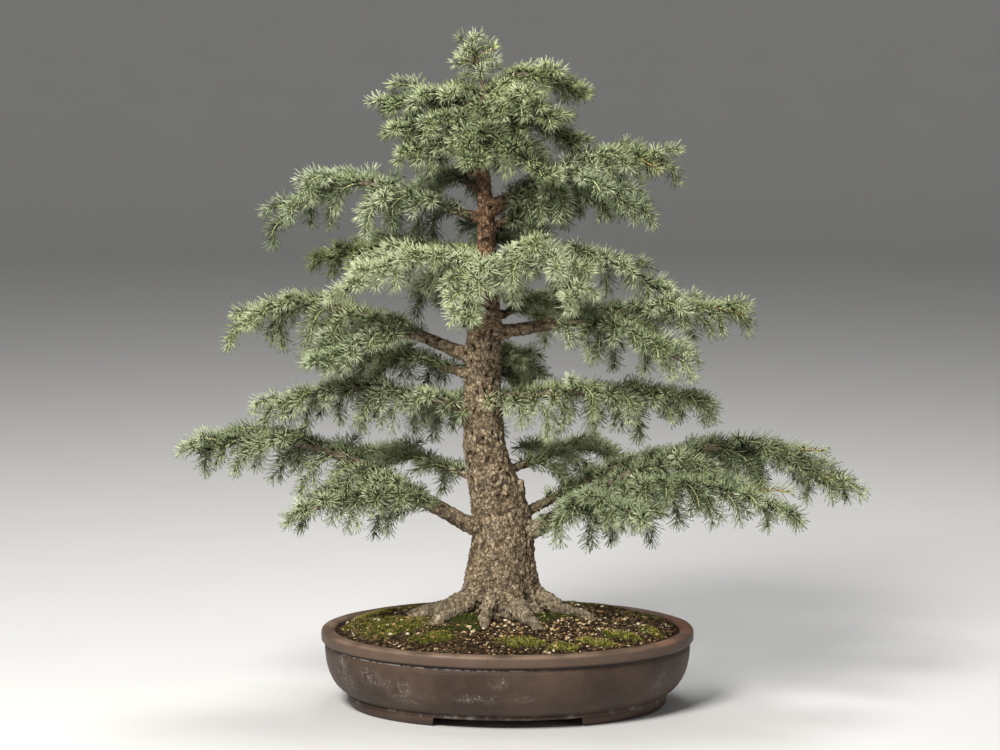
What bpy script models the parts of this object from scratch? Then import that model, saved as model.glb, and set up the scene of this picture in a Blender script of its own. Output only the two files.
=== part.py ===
"""A deodar cedar bonsai in its oval stoneware pot.

The tree is one wooden piece, trunk, roots and bare limbs, and one piece for each
leafy spray. It stands in a plain hole in the soil, the soil fills the pot, and
two plastic screens cover the pot's drain holes. Lengths in this file are in
millimetres and are turned into metres when a mesh is made. The pot's centre is
the origin while modelling, +X is to the viewer's right and -Y is to the front.
"""
import math
import random
from collections import namedtuple

import bmesh
import bpy
import numpy as np
from mathutils import Matrix

MM = 0.001
UP = np.array((0.0, 0.0, 1.0))

# Pot
POT_HALF_WIDTH = 230.0
POT_HALF_DEPTH = 177.0
POT_HEIGHT = 96.0
POT_SIDES = 32
WALL = 13.0
FLOOR_UNDER = 11.0
FLOOR_TOP = 20.0
ROUND_CORE = 120.0
FOOT_GAP_HALF = 93.0
FOOT_END_SLANT = 7.0
DRAIN_X = 95.0
DRAIN_RADIUS = 14.0
DRAIN_SIDES = 16

# Soil
SOIL_GAP = 0.5
SOIL_EDGE_Z = 91.5
SOIL_RISE = 26.0
SOIL_POWER = 0.8
SOIL_RIPPLE = 1.4
SOIL_RIPPLE_WIDE = 17.0
SOIL_RIPPLE_DEEP = 13.0
MOUND_RINGS = (0.0, 0.36, 0.66, 0.88)

# Drain screens
SCREEN_WIDTH = 36.0
SCREEN_THICK = 1.2
SCREEN_CELLS = 5

# Gap between pieces that touch
SEAT = 0.3

# Trunk stations from below the soil to the foot of the leader: height, x, y, radius
TRUNK = (
    (70, -4, 0, 48),
    (112, -5, 0, 60),
    (139, -6, 0, 52),
    (163, -7, 0, 45),
    (182, -7, 0, 41),
    (219, -6, 0, 37),
    (256, -13, 0, 34),
    (298, -23, -1, 28),
    (324, -28, -2, 26),
    (404, -31, -4, 22.5),
    (466, -29, -6, 21.5),
    (503, -27, -7, 18),
    (553, -25, -8, 12.5),
    (615, -27, -9, 9.5),
    (664, -31, -10, 9),
    (726, -24, -12, 7.3),
    (764, -29, -14, 4.4),
    (790, -36, -14, 2.4),
    (818, -42, -14, 1.3),
)
TRUNK_SIDES = 12
WOOD_TOP = 762.0
LEADER_FROM = 762.0
FLUTES = 5
FLUTE_DEPTH = 0.10
FLUTE_TURN = 1.2
FLUTE_TOP = 230.0
LUMPS = 3
LUMP_DEPTH = 0.035
LUMP_TURN_PER_MM = 1 / 31

# Surface roots: compass angle, reach from the trunk's axis, thickness at the trunk
ROOTS = (
    (175, 124, 10),
    (-168, 116, 12),
    (-148, 104, 17),
    (-110, 82, 13),
    (-66, 97, 16),
    (-38, 76, 9),
    (-16, 112, 15),
    (40, 98, 13),
    (95, 84, 12),
    (140, 96, 13),
)
ROOT_SIDES = 5
ROOT_STEPS = 4
ROOT_FROM_Z = 142.0
ROOT_START = 18.0
ROOT_SLOPE = 1.6
ROOT_SWING = 5.0
ROOT_GIRTH = 0.95
ROOT_TAPER = 0.5
ROOT_SHOWS = 0.35
ROOT_DIVE = 9.0

# Old cuts on the trunk: height, compass angle, radius, how far it stands out
CUTS = (
    (287, -82, 9, 4),
    (272, -8, 8, 9),
    (664, -150, 8, 8),
)
CUT_SIDES = 6

# Limbs, in the order they are grown. Source is the trunk or another limb, from is a
# height on the trunk or a share of the other limb, and crest and tip are heights
# above the limb's start. Bare is the share with no leaves, side is the longest side
# twig, droop is how far a twig bends down in degrees, and twigs is how many it has.
Limb = namedtuple("Limb", "source start azimuth reach crest crest_at tip radius bare side droop twigs")
LIMBS = {
    "low_left": Limb("trunk", 207, -173, 370, 132, 0.82, 114, 11, 0.26, 86, 66, 8),
    "low_left_front": Limb("low_left", 0.15, -147, 224, 40, 0.5, 26, 6, 0.16, 60, 62, 5),
    "low_back_left": Limb("trunk", 278, 140, 240, 22, 0.6, 5, 5, 0.16, 60, 60, 5),
    "second_left": Limb("trunk", 366, -166, 264, 34, 0.6, 12, 7.5, 0.14, 74, 88, 6),
    "third_left": Limb("trunk", 430, -175, 292, 70, 0.78, 46, 9, 0.26, 84, 78, 6),
    "third_left_front": Limb("third_left", 0.15, -146, 184, 20, 0.4, -8, 5, 0.34, 54, 66, 4),
    "mid_back_left": Limb("trunk", 408, 154, 195, 20, 0.6, 0, 6, 0.18, 62, 66, 5),
    "fourth_left": Limb("trunk", 556, 168, 212, 8, 0.5, -8, 5, 0.10, 58, 56, 5),
    "fifth_left": Limb("trunk", 602, -176, 250, 46, 0.66, -4, 6, 0.12, 92, 98, 6),
    "crown_left_top": Limb("trunk", 738, 178, 118, 14, 0.5, -2, 3.5, 0.12, 52, 60, 4),
    "crown_left_mid": Limb("trunk", 712, -158, 114, 12, 0.4, 0, 3.5, 0.12, 52, 60, 4),
    "crown_left_low": Limb("trunk", 692, -148, 106, 8, 0.5, -8, 3.5, 0.14, 50, 62, 4),
    "crown_front": Limb("trunk", 702, -100, 85, 8, 0.4, -28, 3.5, 0.18, 46, 62, 4),
    "crown_front_right": Limb("trunk", 684, -50, 116, 10, 0.4, -26, 3.5, 0.10, 50, 68, 4),
    "crown_right_top": Limb("trunk", 752, 4, 114, 28, 0.4, -2, 3.5, 0.10, 50, 58, 4),
    "crown_right_mid": Limb("trunk", 715, -10, 106, 8, 0.4, -24, 3.5, 0.12, 50, 62, 4),
    "crown_right_front": Limb("trunk", 737, -42, 104, 14, 0.4, -8, 3.5, 0.14, 46, 58, 4),
    "crown_back_right": Limb("trunk", 722, 66, 105, 14, 0.5, -8, 3.5, 0.16, 48, 58, 4),
    "crown_back_left": Limb("trunk", 742, 125, 95, 14, 0.5, -6, 3.5, 0.16, 44, 58, 4),
    "fifth_right": Limb("trunk", 608, -4, 214, 76, 0.74, 62, 6, 0.10, 70, 62, 6),
    "fifth_right_front": Limb("trunk", 620, -20, 204, 34, 0.5, -2, 5, 0.14, 66, 88, 5),
    "fifth_right_back": Limb("trunk", 588, 20, 158, 40, 0.6, 32, 5, 0.14, 60, 66, 5),
    "skirt_right": Limb("trunk", 530, -52, 178, 42, 0.45, -10, 6, 0.14, 66, 76, 5),
    "skirt_left": Limb("trunk", 536, -146, 200, 28, 0.45, -10, 6, 0.14, 60, 62, 5),
    "skirt_centre": Limb("trunk", 520, -104, 105, 26, 0.45, -36, 5, 0.24, 52, 76, 4),
    "fourth_right": Limb("trunk", 545, -8, 218, 16, 0.5, -30, 6, 0.14, 66, 84, 5),
    "third_right": Limb("trunk", 462, -4, 312, 32, 0.82, 28, 9, 0.30, 78, 66, 6),
    "third_right_front": Limb("third_right", 0.16, -27, 214, 12, 0.4, -28, 5, 0.22, 66, 76, 5),
    "third_back_right": Limb("trunk", 476, 42, 170, 22, 0.5, -4, 5.5, 0.20, 64, 62, 5),
    "mid_back_right": Limb("trunk", 424, 54, 104, 6, 0.4, -30, 5, 0.22, 40, 62, 4),
    "second_right": Limb("trunk", 380, -9, 272, 14, 0.5, 6, 7.5, 0.12, 78, 108, 7),
    "low_back_right": Limb("trunk", 288, 48, 235, 16, 0.6, -4, 6, 0.20, 66, 60, 5),
    "low_right": Limb("trunk", 203, -3, 412, 122, 0.68, 66, 10, 0.20, 100, 94, 9),
    "low_right_outer": Limb("trunk", 196, -25, 378, 96, 0.62, 68, 6.5, 0.26, 68, 76, 7),
    "low_right_front": Limb("low_right_outer", 0.12, -52, 205, 56, 0.5, 46, 5.5, 0.16, 58, 60, 5),
    "low_right_back": Limb("trunk", 226, 16, 325, 78, 0.72, 60, 7, 0.18, 80, 64, 6),
    "low_back": Limb("trunk", 336, 104, 275, 18, 0.6, -6, 6.5, 0.20, 72, 64, 5),
    "mid_back": Limb("trunk", 395, 82, 250, 14, 0.6, -6, 6, 0.18, 68, 64, 5),
    "third_back": Limb("trunk", 500, 110, 225, 18, 0.6, -8, 5.5, 0.16, 66, 64, 5),
    "fourth_back": Limb("trunk", 566, 80, 190, 14, 0.5, -10, 5, 0.14, 60, 62, 5),
    "fifth_back": Limb("trunk", 636, 116, 155, 14, 0.5, -8, 4.5, 0.16, 54, 60, 4),
    "leader": Limb("trunk", LEADER_FROM, 0, 0, 0, 0, 0, 4.0, 0, 35, 40, 5),
}
LIMB_STEPS = 8
BARE_STEP = 34.0
LIMB_TIP_RADIUS = 2.4
LIMB_TAPER = 0.8
CREST_POWER = 1.25
SWAY = 0.035

# Side twigs. The finished looks carry three twigs for each one here.
TWIGS_PER_STEM = 3
TWIG_PITCHES = (12, 34, -16, 24, 0)
TWIG_RADIUS = 1.25
TWIG_TIP_RADIUS = 0.8
TWIG_SIDES = 3
TWIG_STEPS = 8
TWIG_YAW = (38, 68)
TWIG_CURL = 0.4
TWIG_VARIES = (0.75, 1.1)
LEADER_TURN = 137.5
TWIG_FITS = ((1.0, 0), (0.85, 14), (0.85, -14), (0.65, 0), (0.65, 22), (0.5, -20), (0.4, 10))

# Needles
NEEDLE = 16.0
NEEDLE_RADIUS = 0.5
NEEDLE_LEAN = math.radians(52)
WHORL = 2.4
WHORL_SPACING = 37.0
CORE_WHORL_EVERY = 4
CORE_CLEAR = 0.03
CORE_SIDES = 4
CORE_SLIMNESS = 0.72

# Gaps that new growth keeps, and the numbers that stand for what it keeps them to
GAP_TO_OTHERS = 0.8
GAP_TO_OWN = 0.3
TWIG_ROOT = 14.0
TRUNK_SWELL = 1.12
ROOM_SIZE = 12000
WOOD = -1
CORE = 999


def clear_scene():
    for thing in list(bpy.data.objects):
        bpy.data.objects.remove(thing)


def material(name, colour, roughness, metallic=0.0):
    made = bpy.data.materials.new(name)
    made.use_nodes = True
    shader = made.node_tree.nodes["Principled BSDF"]
    shader.inputs["Base Color"].default_value = (*colour, 1.0)
    shader.inputs["Roughness"].default_value = roughness
    shader.inputs["Metallic"].default_value = metallic
    return made


def as_object(name, bm, finish=None):
    """Turn a bmesh in millimetres into an object in metres."""
    bmesh.ops.recalc_face_normals(bm, faces=bm.faces)
    bmesh.ops.scale(bm, vec=(MM, MM, MM), verts=bm.verts)
    mesh = bpy.data.meshes.new(name)
    bm.to_mesh(mesh)
    bm.free()
    if finish:
        mesh.materials.append(finish)
    made = bpy.data.objects.new(name, mesh)
    bpy.context.scene.collection.objects.link(made)
    return made


def unit(vector):
    return vector / np.linalg.norm(vector)


def compass(azimuth):
    angle = math.radians(azimuth)
    return np.array((math.cos(angle), math.sin(angle), 0.0))


def turned(vector, degrees):
    """The vector turned about the upright axis."""
    c, s = math.cos(math.radians(degrees)), math.sin(math.radians(degrees))
    return np.array((vector[0] * c - vector[1] * s, vector[0] * s + vector[1] * c, vector[2]))


def at_share(line, share):
    """Point and direction at a share of the way along a line."""
    place = min(max(share, 0.0), 1.0) * (len(line) - 1)
    step = min(int(place), len(line) - 2)
    way = line[step + 1] - line[step]
    return line[step] + way * (place - step), unit(way)


def line_length(line):
    return float(np.linalg.norm(np.diff(line, axis=0), axis=1).sum())


# Stems

def station_matrices(points, radii, first_way, last_way):
    """A frame at each point of a line, carried along it without turning about it."""
    steps = np.diff(points, axis=0)
    steps = steps / np.linalg.norm(steps, axis=1)[:, None]
    ways = [steps[0] if first_way is None else first_way]
    for before, after in zip(steps, steps[1:]):
        ways.append(unit(before + after))
    ways.append(steps[-1] if last_way is None else last_way)
    side = unit(np.cross(ways[0], UP if abs(ways[0][2]) < 0.9 else (1.0, 0.0, 0.0)))
    matrices = []
    for point, way, radius in zip(points, ways, radii):
        side = unit(side - way * side.dot(way))
        other = np.cross(way, side)
        matrix = Matrix.Identity(4)
        for row in range(3):
            matrix[row] = (side[row] * radius, other[row] * radius, way[row] * radius, point[row])
        matrices.append(matrix)
    return matrices


def stem(points, radii, sides, first_way=None, last_way=None):
    """A closed stem extruded from end to end, whose ends may face a given way. Returns
    it with its side faces, step by step, and its end face."""
    bm = bmesh.new()
    bmesh.ops.create_circle(bm, cap_ends=True, segments=sides, radius=1.0)
    end = bm.faces[:][0]
    matrices = station_matrices(np.asarray(points, float), radii, first_way, last_way)
    bmesh.ops.transform(bm, matrix=matrices[0], verts=bm.verts)
    rings = []
    for before, after in zip(matrices, matrices[1:]):
        grown = bmesh.ops.extrude_face_region(bm, geom=[end])["geom"]
        if rings:
            bmesh.ops.delete(bm, geom=[end], context="FACES_ONLY")
        end = next(item for item in grown if isinstance(item, bmesh.types.BMFace))
        bmesh.ops.transform(bm, matrix=after @ before.inverted(), verts=end.verts)
        rings.append([face for edge in end.edges for face in edge.link_faces if face is not end])
    bmesh.ops.recalc_face_normals(bm, faces=bm.faces)
    return bm, rings, end


def fuse(body, helpers):
    """Join closed helper objects into the body with one Boolean union."""
    group = bpy.data.collections.new(body.name + " parts")
    bpy.context.scene.collection.children.link(group)
    for helper in helpers:
        bpy.context.scene.collection.objects.unlink(helper)
        group.objects.link(helper)
    union = body.modifiers.new("union", "BOOLEAN")
    union.operation = "UNION"
    union.operand_type = "COLLECTION"
    union.collection = group
    apply_modifiers(body)
    for helper in helpers:
        bpy.data.objects.remove(helper)
    bpy.data.collections.remove(group)
    drop_scraps(body)


def subtract(body, cutter):
    cut = body.modifiers.new("cut", "BOOLEAN")
    cut.operation = "DIFFERENCE"
    cut.object = cutter
    apply_modifiers(body)
    bpy.data.objects.remove(cutter)


def apply_modifiers(body):
    graph = bpy.context.evaluated_depsgraph_get()
    solid = bpy.data.meshes.new_from_object(body.evaluated_get(graph))
    old = body.data
    body.modifiers.clear()
    body.data = solid
    solid.name = body.name
    bpy.data.meshes.remove(old)


def drop_scraps(body):
    """Keep the largest joined body of a mesh."""
    bm = bmesh.new()
    bm.from_mesh(body.data)
    waiting = set(bm.verts)
    islands = []
    while waiting:
        front = [waiting.pop()]
        island = set(front)
        while front:
            for edge in front.pop().link_edges:
                for vert in edge.verts:
                    if vert in waiting:
                        waiting.discard(vert)
                        island.add(vert)
                        front.append(vert)
        islands.append(island)
    islands.sort(key=len)
    for island in islands[:-1]:
        bmesh.ops.delete(bm, geom=list(island), context="VERTS")
    bm.to_mesh(body.data)
    bm.free()


# Lines of growth

def trunk_point(height):
    """Middle and radius of the trunk at a height."""
    rows = np.array(TRUNK, float)
    x, y, radius = (np.interp(height, rows[:, 0], rows[:, column]) for column in (1, 2, 3))
    return np.array((x, y, height)), float(radius)


def limb_line(limb, number, lines):
    """The middle line of a limb: it rises to its crest and then sinks to its tip."""
    if not limb.reach:
        heights = np.linspace(limb.start, TRUNK[-1][0], LIMB_STEPS + 1)
        return np.array([trunk_point(height)[0] for height in heights])
    if limb.source == "trunk":
        start = trunk_point(limb.start)[0]
    else:
        start = at_share(lines[limb.source], limb.start)[0]
    draw = random.Random(number)
    swings = [draw.uniform(-1.0, 1.0) for _ in range(2)]
    out = compass(limb.azimuth)
    side = np.cross(UP, out)
    points = []
    for step in range(LIMB_STEPS + 1):
        share = step / LIMB_STEPS
        if share < limb.crest_at:
            rise = limb.crest * math.sin(share / limb.crest_at * math.pi / 2) ** CREST_POWER
        else:
            past = (share - limb.crest_at) / (1.0 - limb.crest_at)
            rise = limb.crest + (limb.tip - limb.crest) * (1.0 - math.cos(past * math.pi / 2))
        sway = swings[0] * math.sin(math.pi * share) + swings[1] * math.sin(2 * math.pi * share)
        points.append(start + out * limb.reach * share + side * limb.reach * SWAY * sway + UP * rise)
    return np.array(points)


def limb_radius(limb, share):
    return LIMB_TIP_RADIUS + (limb.radius - LIMB_TIP_RADIUS) * (1.0 - share) ** LIMB_TAPER


def twig_line(limb, number, line, index, size=1.0, lift=0.0):
    """The middle line of one side twig, which leaves the limb and arches down."""
    draw = random.Random(number * 100 + index)
    total = limb.twigs * TWIGS_PER_STEM
    along = (index + 0.5) / total
    root, way = at_share(line, limb.bare + along * (1.0 - limb.bare))
    hand = 1 if index % 2 else -1
    yaw = hand * draw.uniform(*TWIG_YAW) * (1.0 - 0.35 * along)
    fullness = (0.72 + 0.28 * math.sin(math.pi * min(1.0, along * 1.3))) * (1.0 - 0.35 * along ** 3)
    length = limb.side * fullness * draw.uniform(*TWIG_VARIES) * size
    pitch = TWIG_PITCHES[index % len(TWIG_PITCHES)] + draw.uniform(-8, 8) + lift
    droop = limb.droop * draw.uniform(0.8, 1.25)
    curl = draw.uniform(-TWIG_CURL, TWIG_CURL)
    if limb.reach:
        heading = unit(turned(way, yaw) * (1.0, 1.0, 0.0))
    else:
        heading = compass(LEADER_TURN * index)
        length = limb.side * (1.0 - 0.45 * along) * size
        pitch = 30 + 20 * along + lift
    side = np.cross(UP, heading)
    points = [root]
    for step in range(TWIG_STEPS):
        share = (step + 0.5) / TWIG_STEPS
        fall = math.radians(pitch - droop * share ** 1.3)
        ahead = heading * math.cos(curl * share) + side * math.sin(curl * share)
        points.append(points[-1] + (ahead * math.cos(fall) + UP * math.sin(fall)) * length / TWIG_STEPS)
    return np.array(points)


# Room between the pieces

class Room:
    """What has been grown so far, as thick lines, so that new growth keeps clear of it."""

    def __init__(self):
        self.starts = np.zeros((ROOM_SIZE, 3))
        self.ends = np.zeros((ROOM_SIZE, 3))
        self.radii = np.zeros(ROOM_SIZE)
        self.pieces = np.zeros(ROOM_SIZE, int)
        self.stems = np.zeros(ROOM_SIZE, int)
        self.count = 0

    def add(self, points, radii, piece, stem_number):
        for start, end, radius in zip(points, points[1:], radii):
            self.starts[self.count] = start
            self.ends[self.count] = end
            self.radii[self.count] = radius
            self.pieces[self.count] = piece
            self.stems[self.count] = stem_number
            self.count += 1

    def is_clear(self, points, radius, piece, stem_number, past=0.0):
        """True where a line keeps its gap to all others. Its own stem is left out, and
        so is its own piece along the first stretch of the line."""
        known = slice(0, self.count)
        own = self.pieces[known] == piece
        same = own & (self.stems[known] == stem_number)
        needed = np.where(own, GAP_TO_OWN, GAP_TO_OTHERS)
        walked = 0.0
        for start, end in zip(points, points[1:]):
            walked += np.linalg.norm(end - start)
            passed = own if walked < past else same
            gaps = segment_gaps(start, end, self.starts[known], self.ends[known]) - self.radii[known]
            if ((gaps - radius < needed) & ~passed).any():
                return False
        return True


def segment_gaps(start, end, starts, ends):
    """Least distance from one segment to each of many."""
    way, ways = end - start, ends - starts
    between = start - starts
    a = way.dot(way)
    e = (ways * ways).sum(axis=1)
    f = (ways * between).sum(axis=1)
    b = ways @ way
    c = between @ way
    s = np.clip((b * f - c * e) / np.maximum(a * e - b * b, 1e-9), 0.0, 1.0)
    t = np.clip((b * s + f) / e, 0.0, 1.0)
    s = np.clip((b * t - c) / a, 0.0, 1.0)
    apart = (start + s[:, None] * way) - (starts + t[:, None] * ways)
    return np.linalg.norm(apart, axis=1)


# Pot

def oval(bm):
    """Press a turned shape into the pot's oval, with a wall of one thickness."""
    squeeze = POT_HALF_WIDTH - POT_HALF_DEPTH
    for vert in bm.verts:
        radius = math.hypot(vert.co.x, vert.co.y)
        vert.co.y *= 1.0 - squeeze / max(radius, ROUND_CORE)


def turned_shape(profile):
    """Spin an outline of (radius, height) points about the upright axis."""
    bm = bmesh.new()
    corners = [bm.verts.new((radius, 0.0, height)) for radius, height in profile]
    edges = [bm.edges.new(pair) for pair in zip(corners, corners[1:])]
    bmesh.ops.spin(bm, geom=corners + edges, axis=(0, 0, 1), cent=(0, 0, 0), angle=math.tau,
                   steps=POT_SIDES, use_merge=True)
    bmesh.ops.remove_doubles(bm, verts=bm.verts, dist=0.01)
    return bm


def pot_inside():
    """Outline of the pot's hollow, from the rim down to the middle of the floor."""
    return [
        (POT_HALF_WIDTH - 17, POT_HEIGHT - 2.5),
        (POT_HALF_WIDTH - 18, 58),
        (POT_HALF_WIDTH - 26, 34),
        (POT_HALF_WIDTH - 40, FLOOR_TOP),
        (0, FLOOR_TOP),
    ]


def pot_outline():
    half = POT_HALF_WIDTH
    return [
        (0, FLOOR_UNDER),
        (half - 64, FLOOR_UNDER),
        (half - 62, 0),
        (half - 38, 0),
        (half - 37, FLOOR_UNDER),
        (half - 33, 14),
        (half - 19, 26),
        (half - 10, 42),
        (half - 5, 60),
        (half - 4, 75),
        (half - 5.5, 79),
        (half - 2, 82),
        (half, 85),
        (half, POT_HEIGHT - 3),
        (half - 2.5, POT_HEIGHT),
        (half - 14, POT_HEIGHT),
    ] + pot_inside()


def block(size_bottom, size_top, low, high, centre=(0.0, 0.0)):
    """A block between two heights, with its own width at the bottom and at the top."""
    bm = bmesh.new()
    bmesh.ops.create_cube(bm, size=1.0)
    for vert in bm.verts:
        top = vert.co.z > 0
        width, depth = size_top if top else size_bottom
        vert.co.x = centre[0] + math.copysign(width / 2, vert.co.x)
        vert.co.y = centre[1] + math.copysign(depth / 2, vert.co.y)
        vert.co.z = high if top else low
    return bm


def drain_hole(x):
    bm = bmesh.new()
    bmesh.ops.create_cone(bm, cap_ends=True, segments=DRAIN_SIDES, radius1=DRAIN_RADIUS,
                          radius2=DRAIN_RADIUS, depth=FLOOR_TOP * 2,
                          matrix=Matrix.Translation((x, 0.0, FLOOR_UNDER)))
    return as_object("drain hole", bm)


def make_pot(clay):
    bm = turned_shape(pot_outline())
    oval(bm)
    pot = as_object("pot", bm, clay)
    across = 4 * POT_HALF_DEPTH
    wide = 2 * (FOOT_GAP_HALF + FOOT_END_SLANT)
    gap = block((wide, across), (2 * FOOT_GAP_HALF, across), -10.0, FLOOR_UNDER - 0.01)
    subtract(pot, as_object("foot gap", gap))
    for x in (-DRAIN_X, DRAIN_X):
        subtract(pot, drain_hole(x))
    return pot


def make_screen(name, x, plastic):
    """A square of plastic mesh that lies over a drain hole."""
    bm = bmesh.new()
    bmesh.ops.create_grid(bm, x_segments=SCREEN_CELLS, y_segments=SCREEN_CELLS, size=SCREEN_WIDTH / 2)
    cell = SCREEN_WIDTH / SCREEN_CELLS
    holes = []
    for face in bm.faces:
        centre = face.calc_center_median()
        column, row = (round((place + SCREEN_WIDTH / 2) / cell - 0.5) for place in centre[:2])
        if column % 2 and row % 2:
            holes.append(face)
    bmesh.ops.delete(bm, geom=holes, context="FACES")
    grown = bmesh.ops.extrude_face_region(bm, geom=bm.faces[:])["geom"]
    upper = [item for item in grown if isinstance(item, bmesh.types.BMVert)]
    bmesh.ops.translate(bm, vec=(0, 0, SCREEN_THICK), verts=upper)
    bmesh.ops.translate(bm, vec=(x, 0, FLOOR_TOP + SEAT), verts=bm.verts)
    return as_object(name, bm, plastic)


# Soil

def soil_height(x, y):
    """Height of the soil's mound, with shallow hollows."""
    across = POT_HALF_WIDTH - WALL - 4
    deep = POT_HALF_DEPTH - WALL - 4
    edge = min(1.0, math.hypot(x / across, y / deep))
    rise = SOIL_RISE * (1.0 - edge * edge) ** SOIL_POWER
    ripple = math.sin(x / SOIL_RIPPLE_WIDE) * math.cos(y / SOIL_RIPPLE_DEEP) * (1.0 - edge ** 4)
    return SOIL_EDGE_Z + rise + SOIL_RIPPLE * ripple


def make_soil(earth):
    inside = [(radius - SOIL_GAP, height) for radius, height in pot_inside()]
    wall = [(inside[0][0], SOIL_EDGE_Z)] + inside[1:-1]
    floor = FLOOR_TOP + SEAT
    mound = [(wall[0][0] * share, SOIL_EDGE_Z) for share in MOUND_RINGS]
    outline = mound + wall[:-1] + [(wall[-1][0] - SEAT, floor), (0.0, floor)]
    bm = turned_shape(outline)
    oval(bm)
    for vert in bm.verts:
        if vert.co.z > SOIL_EDGE_Z - SEAT:
            vert.co.z = soil_height(vert.co.x, vert.co.y)
    soil = as_object("soil", bm, earth)
    subtract(soil, tree_base(SOIL_GAP))
    pocket = SCREEN_WIDTH + 2 * SOIL_GAP
    for x in (-DRAIN_X, DRAIN_X):
        room = block((pocket, pocket), (pocket, pocket), 0.0, FLOOR_TOP + SCREEN_THICK + 3 * SEAT, (x, 0.0))
        subtract(soil, as_object("screen pocket", room))
    return soil


# Wood

def trunk_stem(low, high, extra=0.0):
    """The trunk between two heights, its foot drawn out in flutes between the roots."""
    heights = [low] + [row[0] for row in TRUNK if low < row[0] < high] + [high]
    places = [trunk_point(height) for height in heights]
    bm, _, _ = stem([place for place, _ in places], [radius for _, radius in places], TRUNK_SIDES)
    for vert in bm.verts:
        middle, radius = trunk_point(min(max(vert.co.z, low), high))
        offset = np.array(vert.co) - middle
        angle = math.atan2(offset[1], offset[0])
        fade = max(0.0, 1.0 - (vert.co.z - low) / (FLUTE_TOP - low))
        swell = 1.0 + FLUTE_DEPTH * fade * math.cos(FLUTES * angle + FLUTE_TURN)
        swell += LUMP_DEPTH * math.sin(LUMPS * angle + vert.co.z * LUMP_TURN_PER_MM)
        length = math.hypot(offset[0], offset[1])
        if length > 0.01:
            vert.co.x = middle[0] + offset[0] * (swell + extra / length)
            vert.co.y = middle[1] + offset[1] * (swell + extra / length)
        if extra and vert.co.z < low + 1.0:
            vert.co.z -= extra
    bmesh.ops.triangulate(bm, faces=bm.faces, quad_method="FIXED")
    return bm


def root_stem(azimuth, reach, thick, extra=0.0):
    """One surface root: down the trunk's foot, along the soil and into it."""
    middle = trunk_point(ROOT_FROM_Z)[0]
    out = compass(azimuth)
    points = []
    radii = []
    for step in range(ROOT_STEPS + 1):
        share = step / ROOT_STEPS
        swing = ROOT_SWING * math.sin(share * math.pi * 1.5 + azimuth) * share
        ahead = ROOT_START + (reach - ROOT_START) * share
        place = middle + out * ahead + np.cross(UP, out) * swing
        ground = soil_height(place[0], place[1])
        above = (ROOT_FROM_Z - ground) * max(0.0, 1.0 - share * ROOT_SLOPE)
        girth = thick * (ROOT_GIRTH - ROOT_TAPER * share)
        place[2] = ground + above + girth * ROOT_SHOWS - ROOT_DIVE * share ** 4
        points.append(place)
        radii.append(girth + extra)
    points[-1] = points[-1] + unit(points[-1] - points[-2]) * extra
    bm, _, _ = stem(points, radii, ROOT_SIDES)
    bmesh.ops.triangulate(bm, faces=bm.faces, quad_method="FIXED")
    return bm


def tree_base(extra):
    """The trunk's foot and roots, grown by a gap, which shapes the hole in the soil."""
    foot = as_object("foot", trunk_stem(TRUNK[0][0], FLUTE_TOP, extra))
    fuse(foot, [as_object("root", root_stem(*root, extra)) for root in ROOTS])
    return foot


def cut_stem(height, azimuth, radius, out):
    """The stub or scar of a branch that was cut off."""
    middle, trunk_radius = trunk_point(height)
    way = compass(azimuth)
    end = trunk_radius + out
    points = [middle + way * (trunk_radius * 0.4), middle + way * (end - 2.0), middle + way * end]
    return stem(points, [radius, radius, radius * 0.7], CUT_SIDES)[0]


def bare_limb(limb, line):
    """The leafless stretch of a limb, out of the middle of what carries it."""
    steps = max(1, round(limb.reach * limb.bare / BARE_STEP))
    points = [at_share(line, limb.bare * step / steps)[0] for step in range(steps + 1)]
    radii = [limb_radius(limb, limb.bare * step / steps) for step in range(steps + 1)]
    sides = 6 if limb.radius > 7 else CORE_SIDES
    return stem(points, radii, sides, last_way=at_share(line, limb.bare)[1])[0]


def make_wood(lines, bark):
    wood = as_object("wood", trunk_stem(TRUNK[0][0], WOOD_TOP), bark)
    helpers = [as_object("root", root_stem(*root)) for root in ROOTS]
    helpers += [as_object("cut", cut_stem(*cut)) for cut in CUTS]
    helpers += [as_object("limb", bare_limb(limb, lines[name])) for name, limb in LIMBS.items() if limb.reach]
    fuse(wood, helpers)
    return wood


# Sprays

def ringed(line, shares, whorl_ends, radius_at):
    """Rings of a stem at shares of its line. Each share in whorl_ends closes a short
    stretch that bears a whorl of needles. Returns points, radii and those stretches."""
    width = WHORL / line_length(line)
    places = []
    whorls = []
    for share in shares:
        if share in whorl_ends:
            places.append(share - width)
            whorls.append(len(places) - 1)
        places.append(share)
    points = [at_share(line, share)[0] for share in places]
    return points, [radius_at(share) for share in places], whorls


def core_stem(limb, line):
    """A spray's slim core, which carries on from the bare limb."""
    first = limb.bare + SEAT / line_length(line)
    shares = [first] + [step / LIMB_STEPS for step in range(1, LIMB_STEPS + 1)
                        if step / LIMB_STEPS > limb.bare + CORE_CLEAR]
    whorl_ends = shares[::-CORE_WHORL_EVERY][:-1] or shares[-1:]
    return ringed(line, shares, whorl_ends, lambda share: limb_radius(limb, share) * CORE_SLIMNESS)


def twig_stem(twig):
    whorls = max(1, round(line_length(twig) / WHORL_SPACING))
    shares = [0.0] + [1.0 - 0.58 * (whorls - 1 - whorl) / whorls for whorl in range(whorls)]
    return ringed(twig, shares, shares[1:],
                  lambda share: TWIG_RADIUS + (TWIG_TIP_RADIUS - TWIG_RADIUS) * share)


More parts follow.
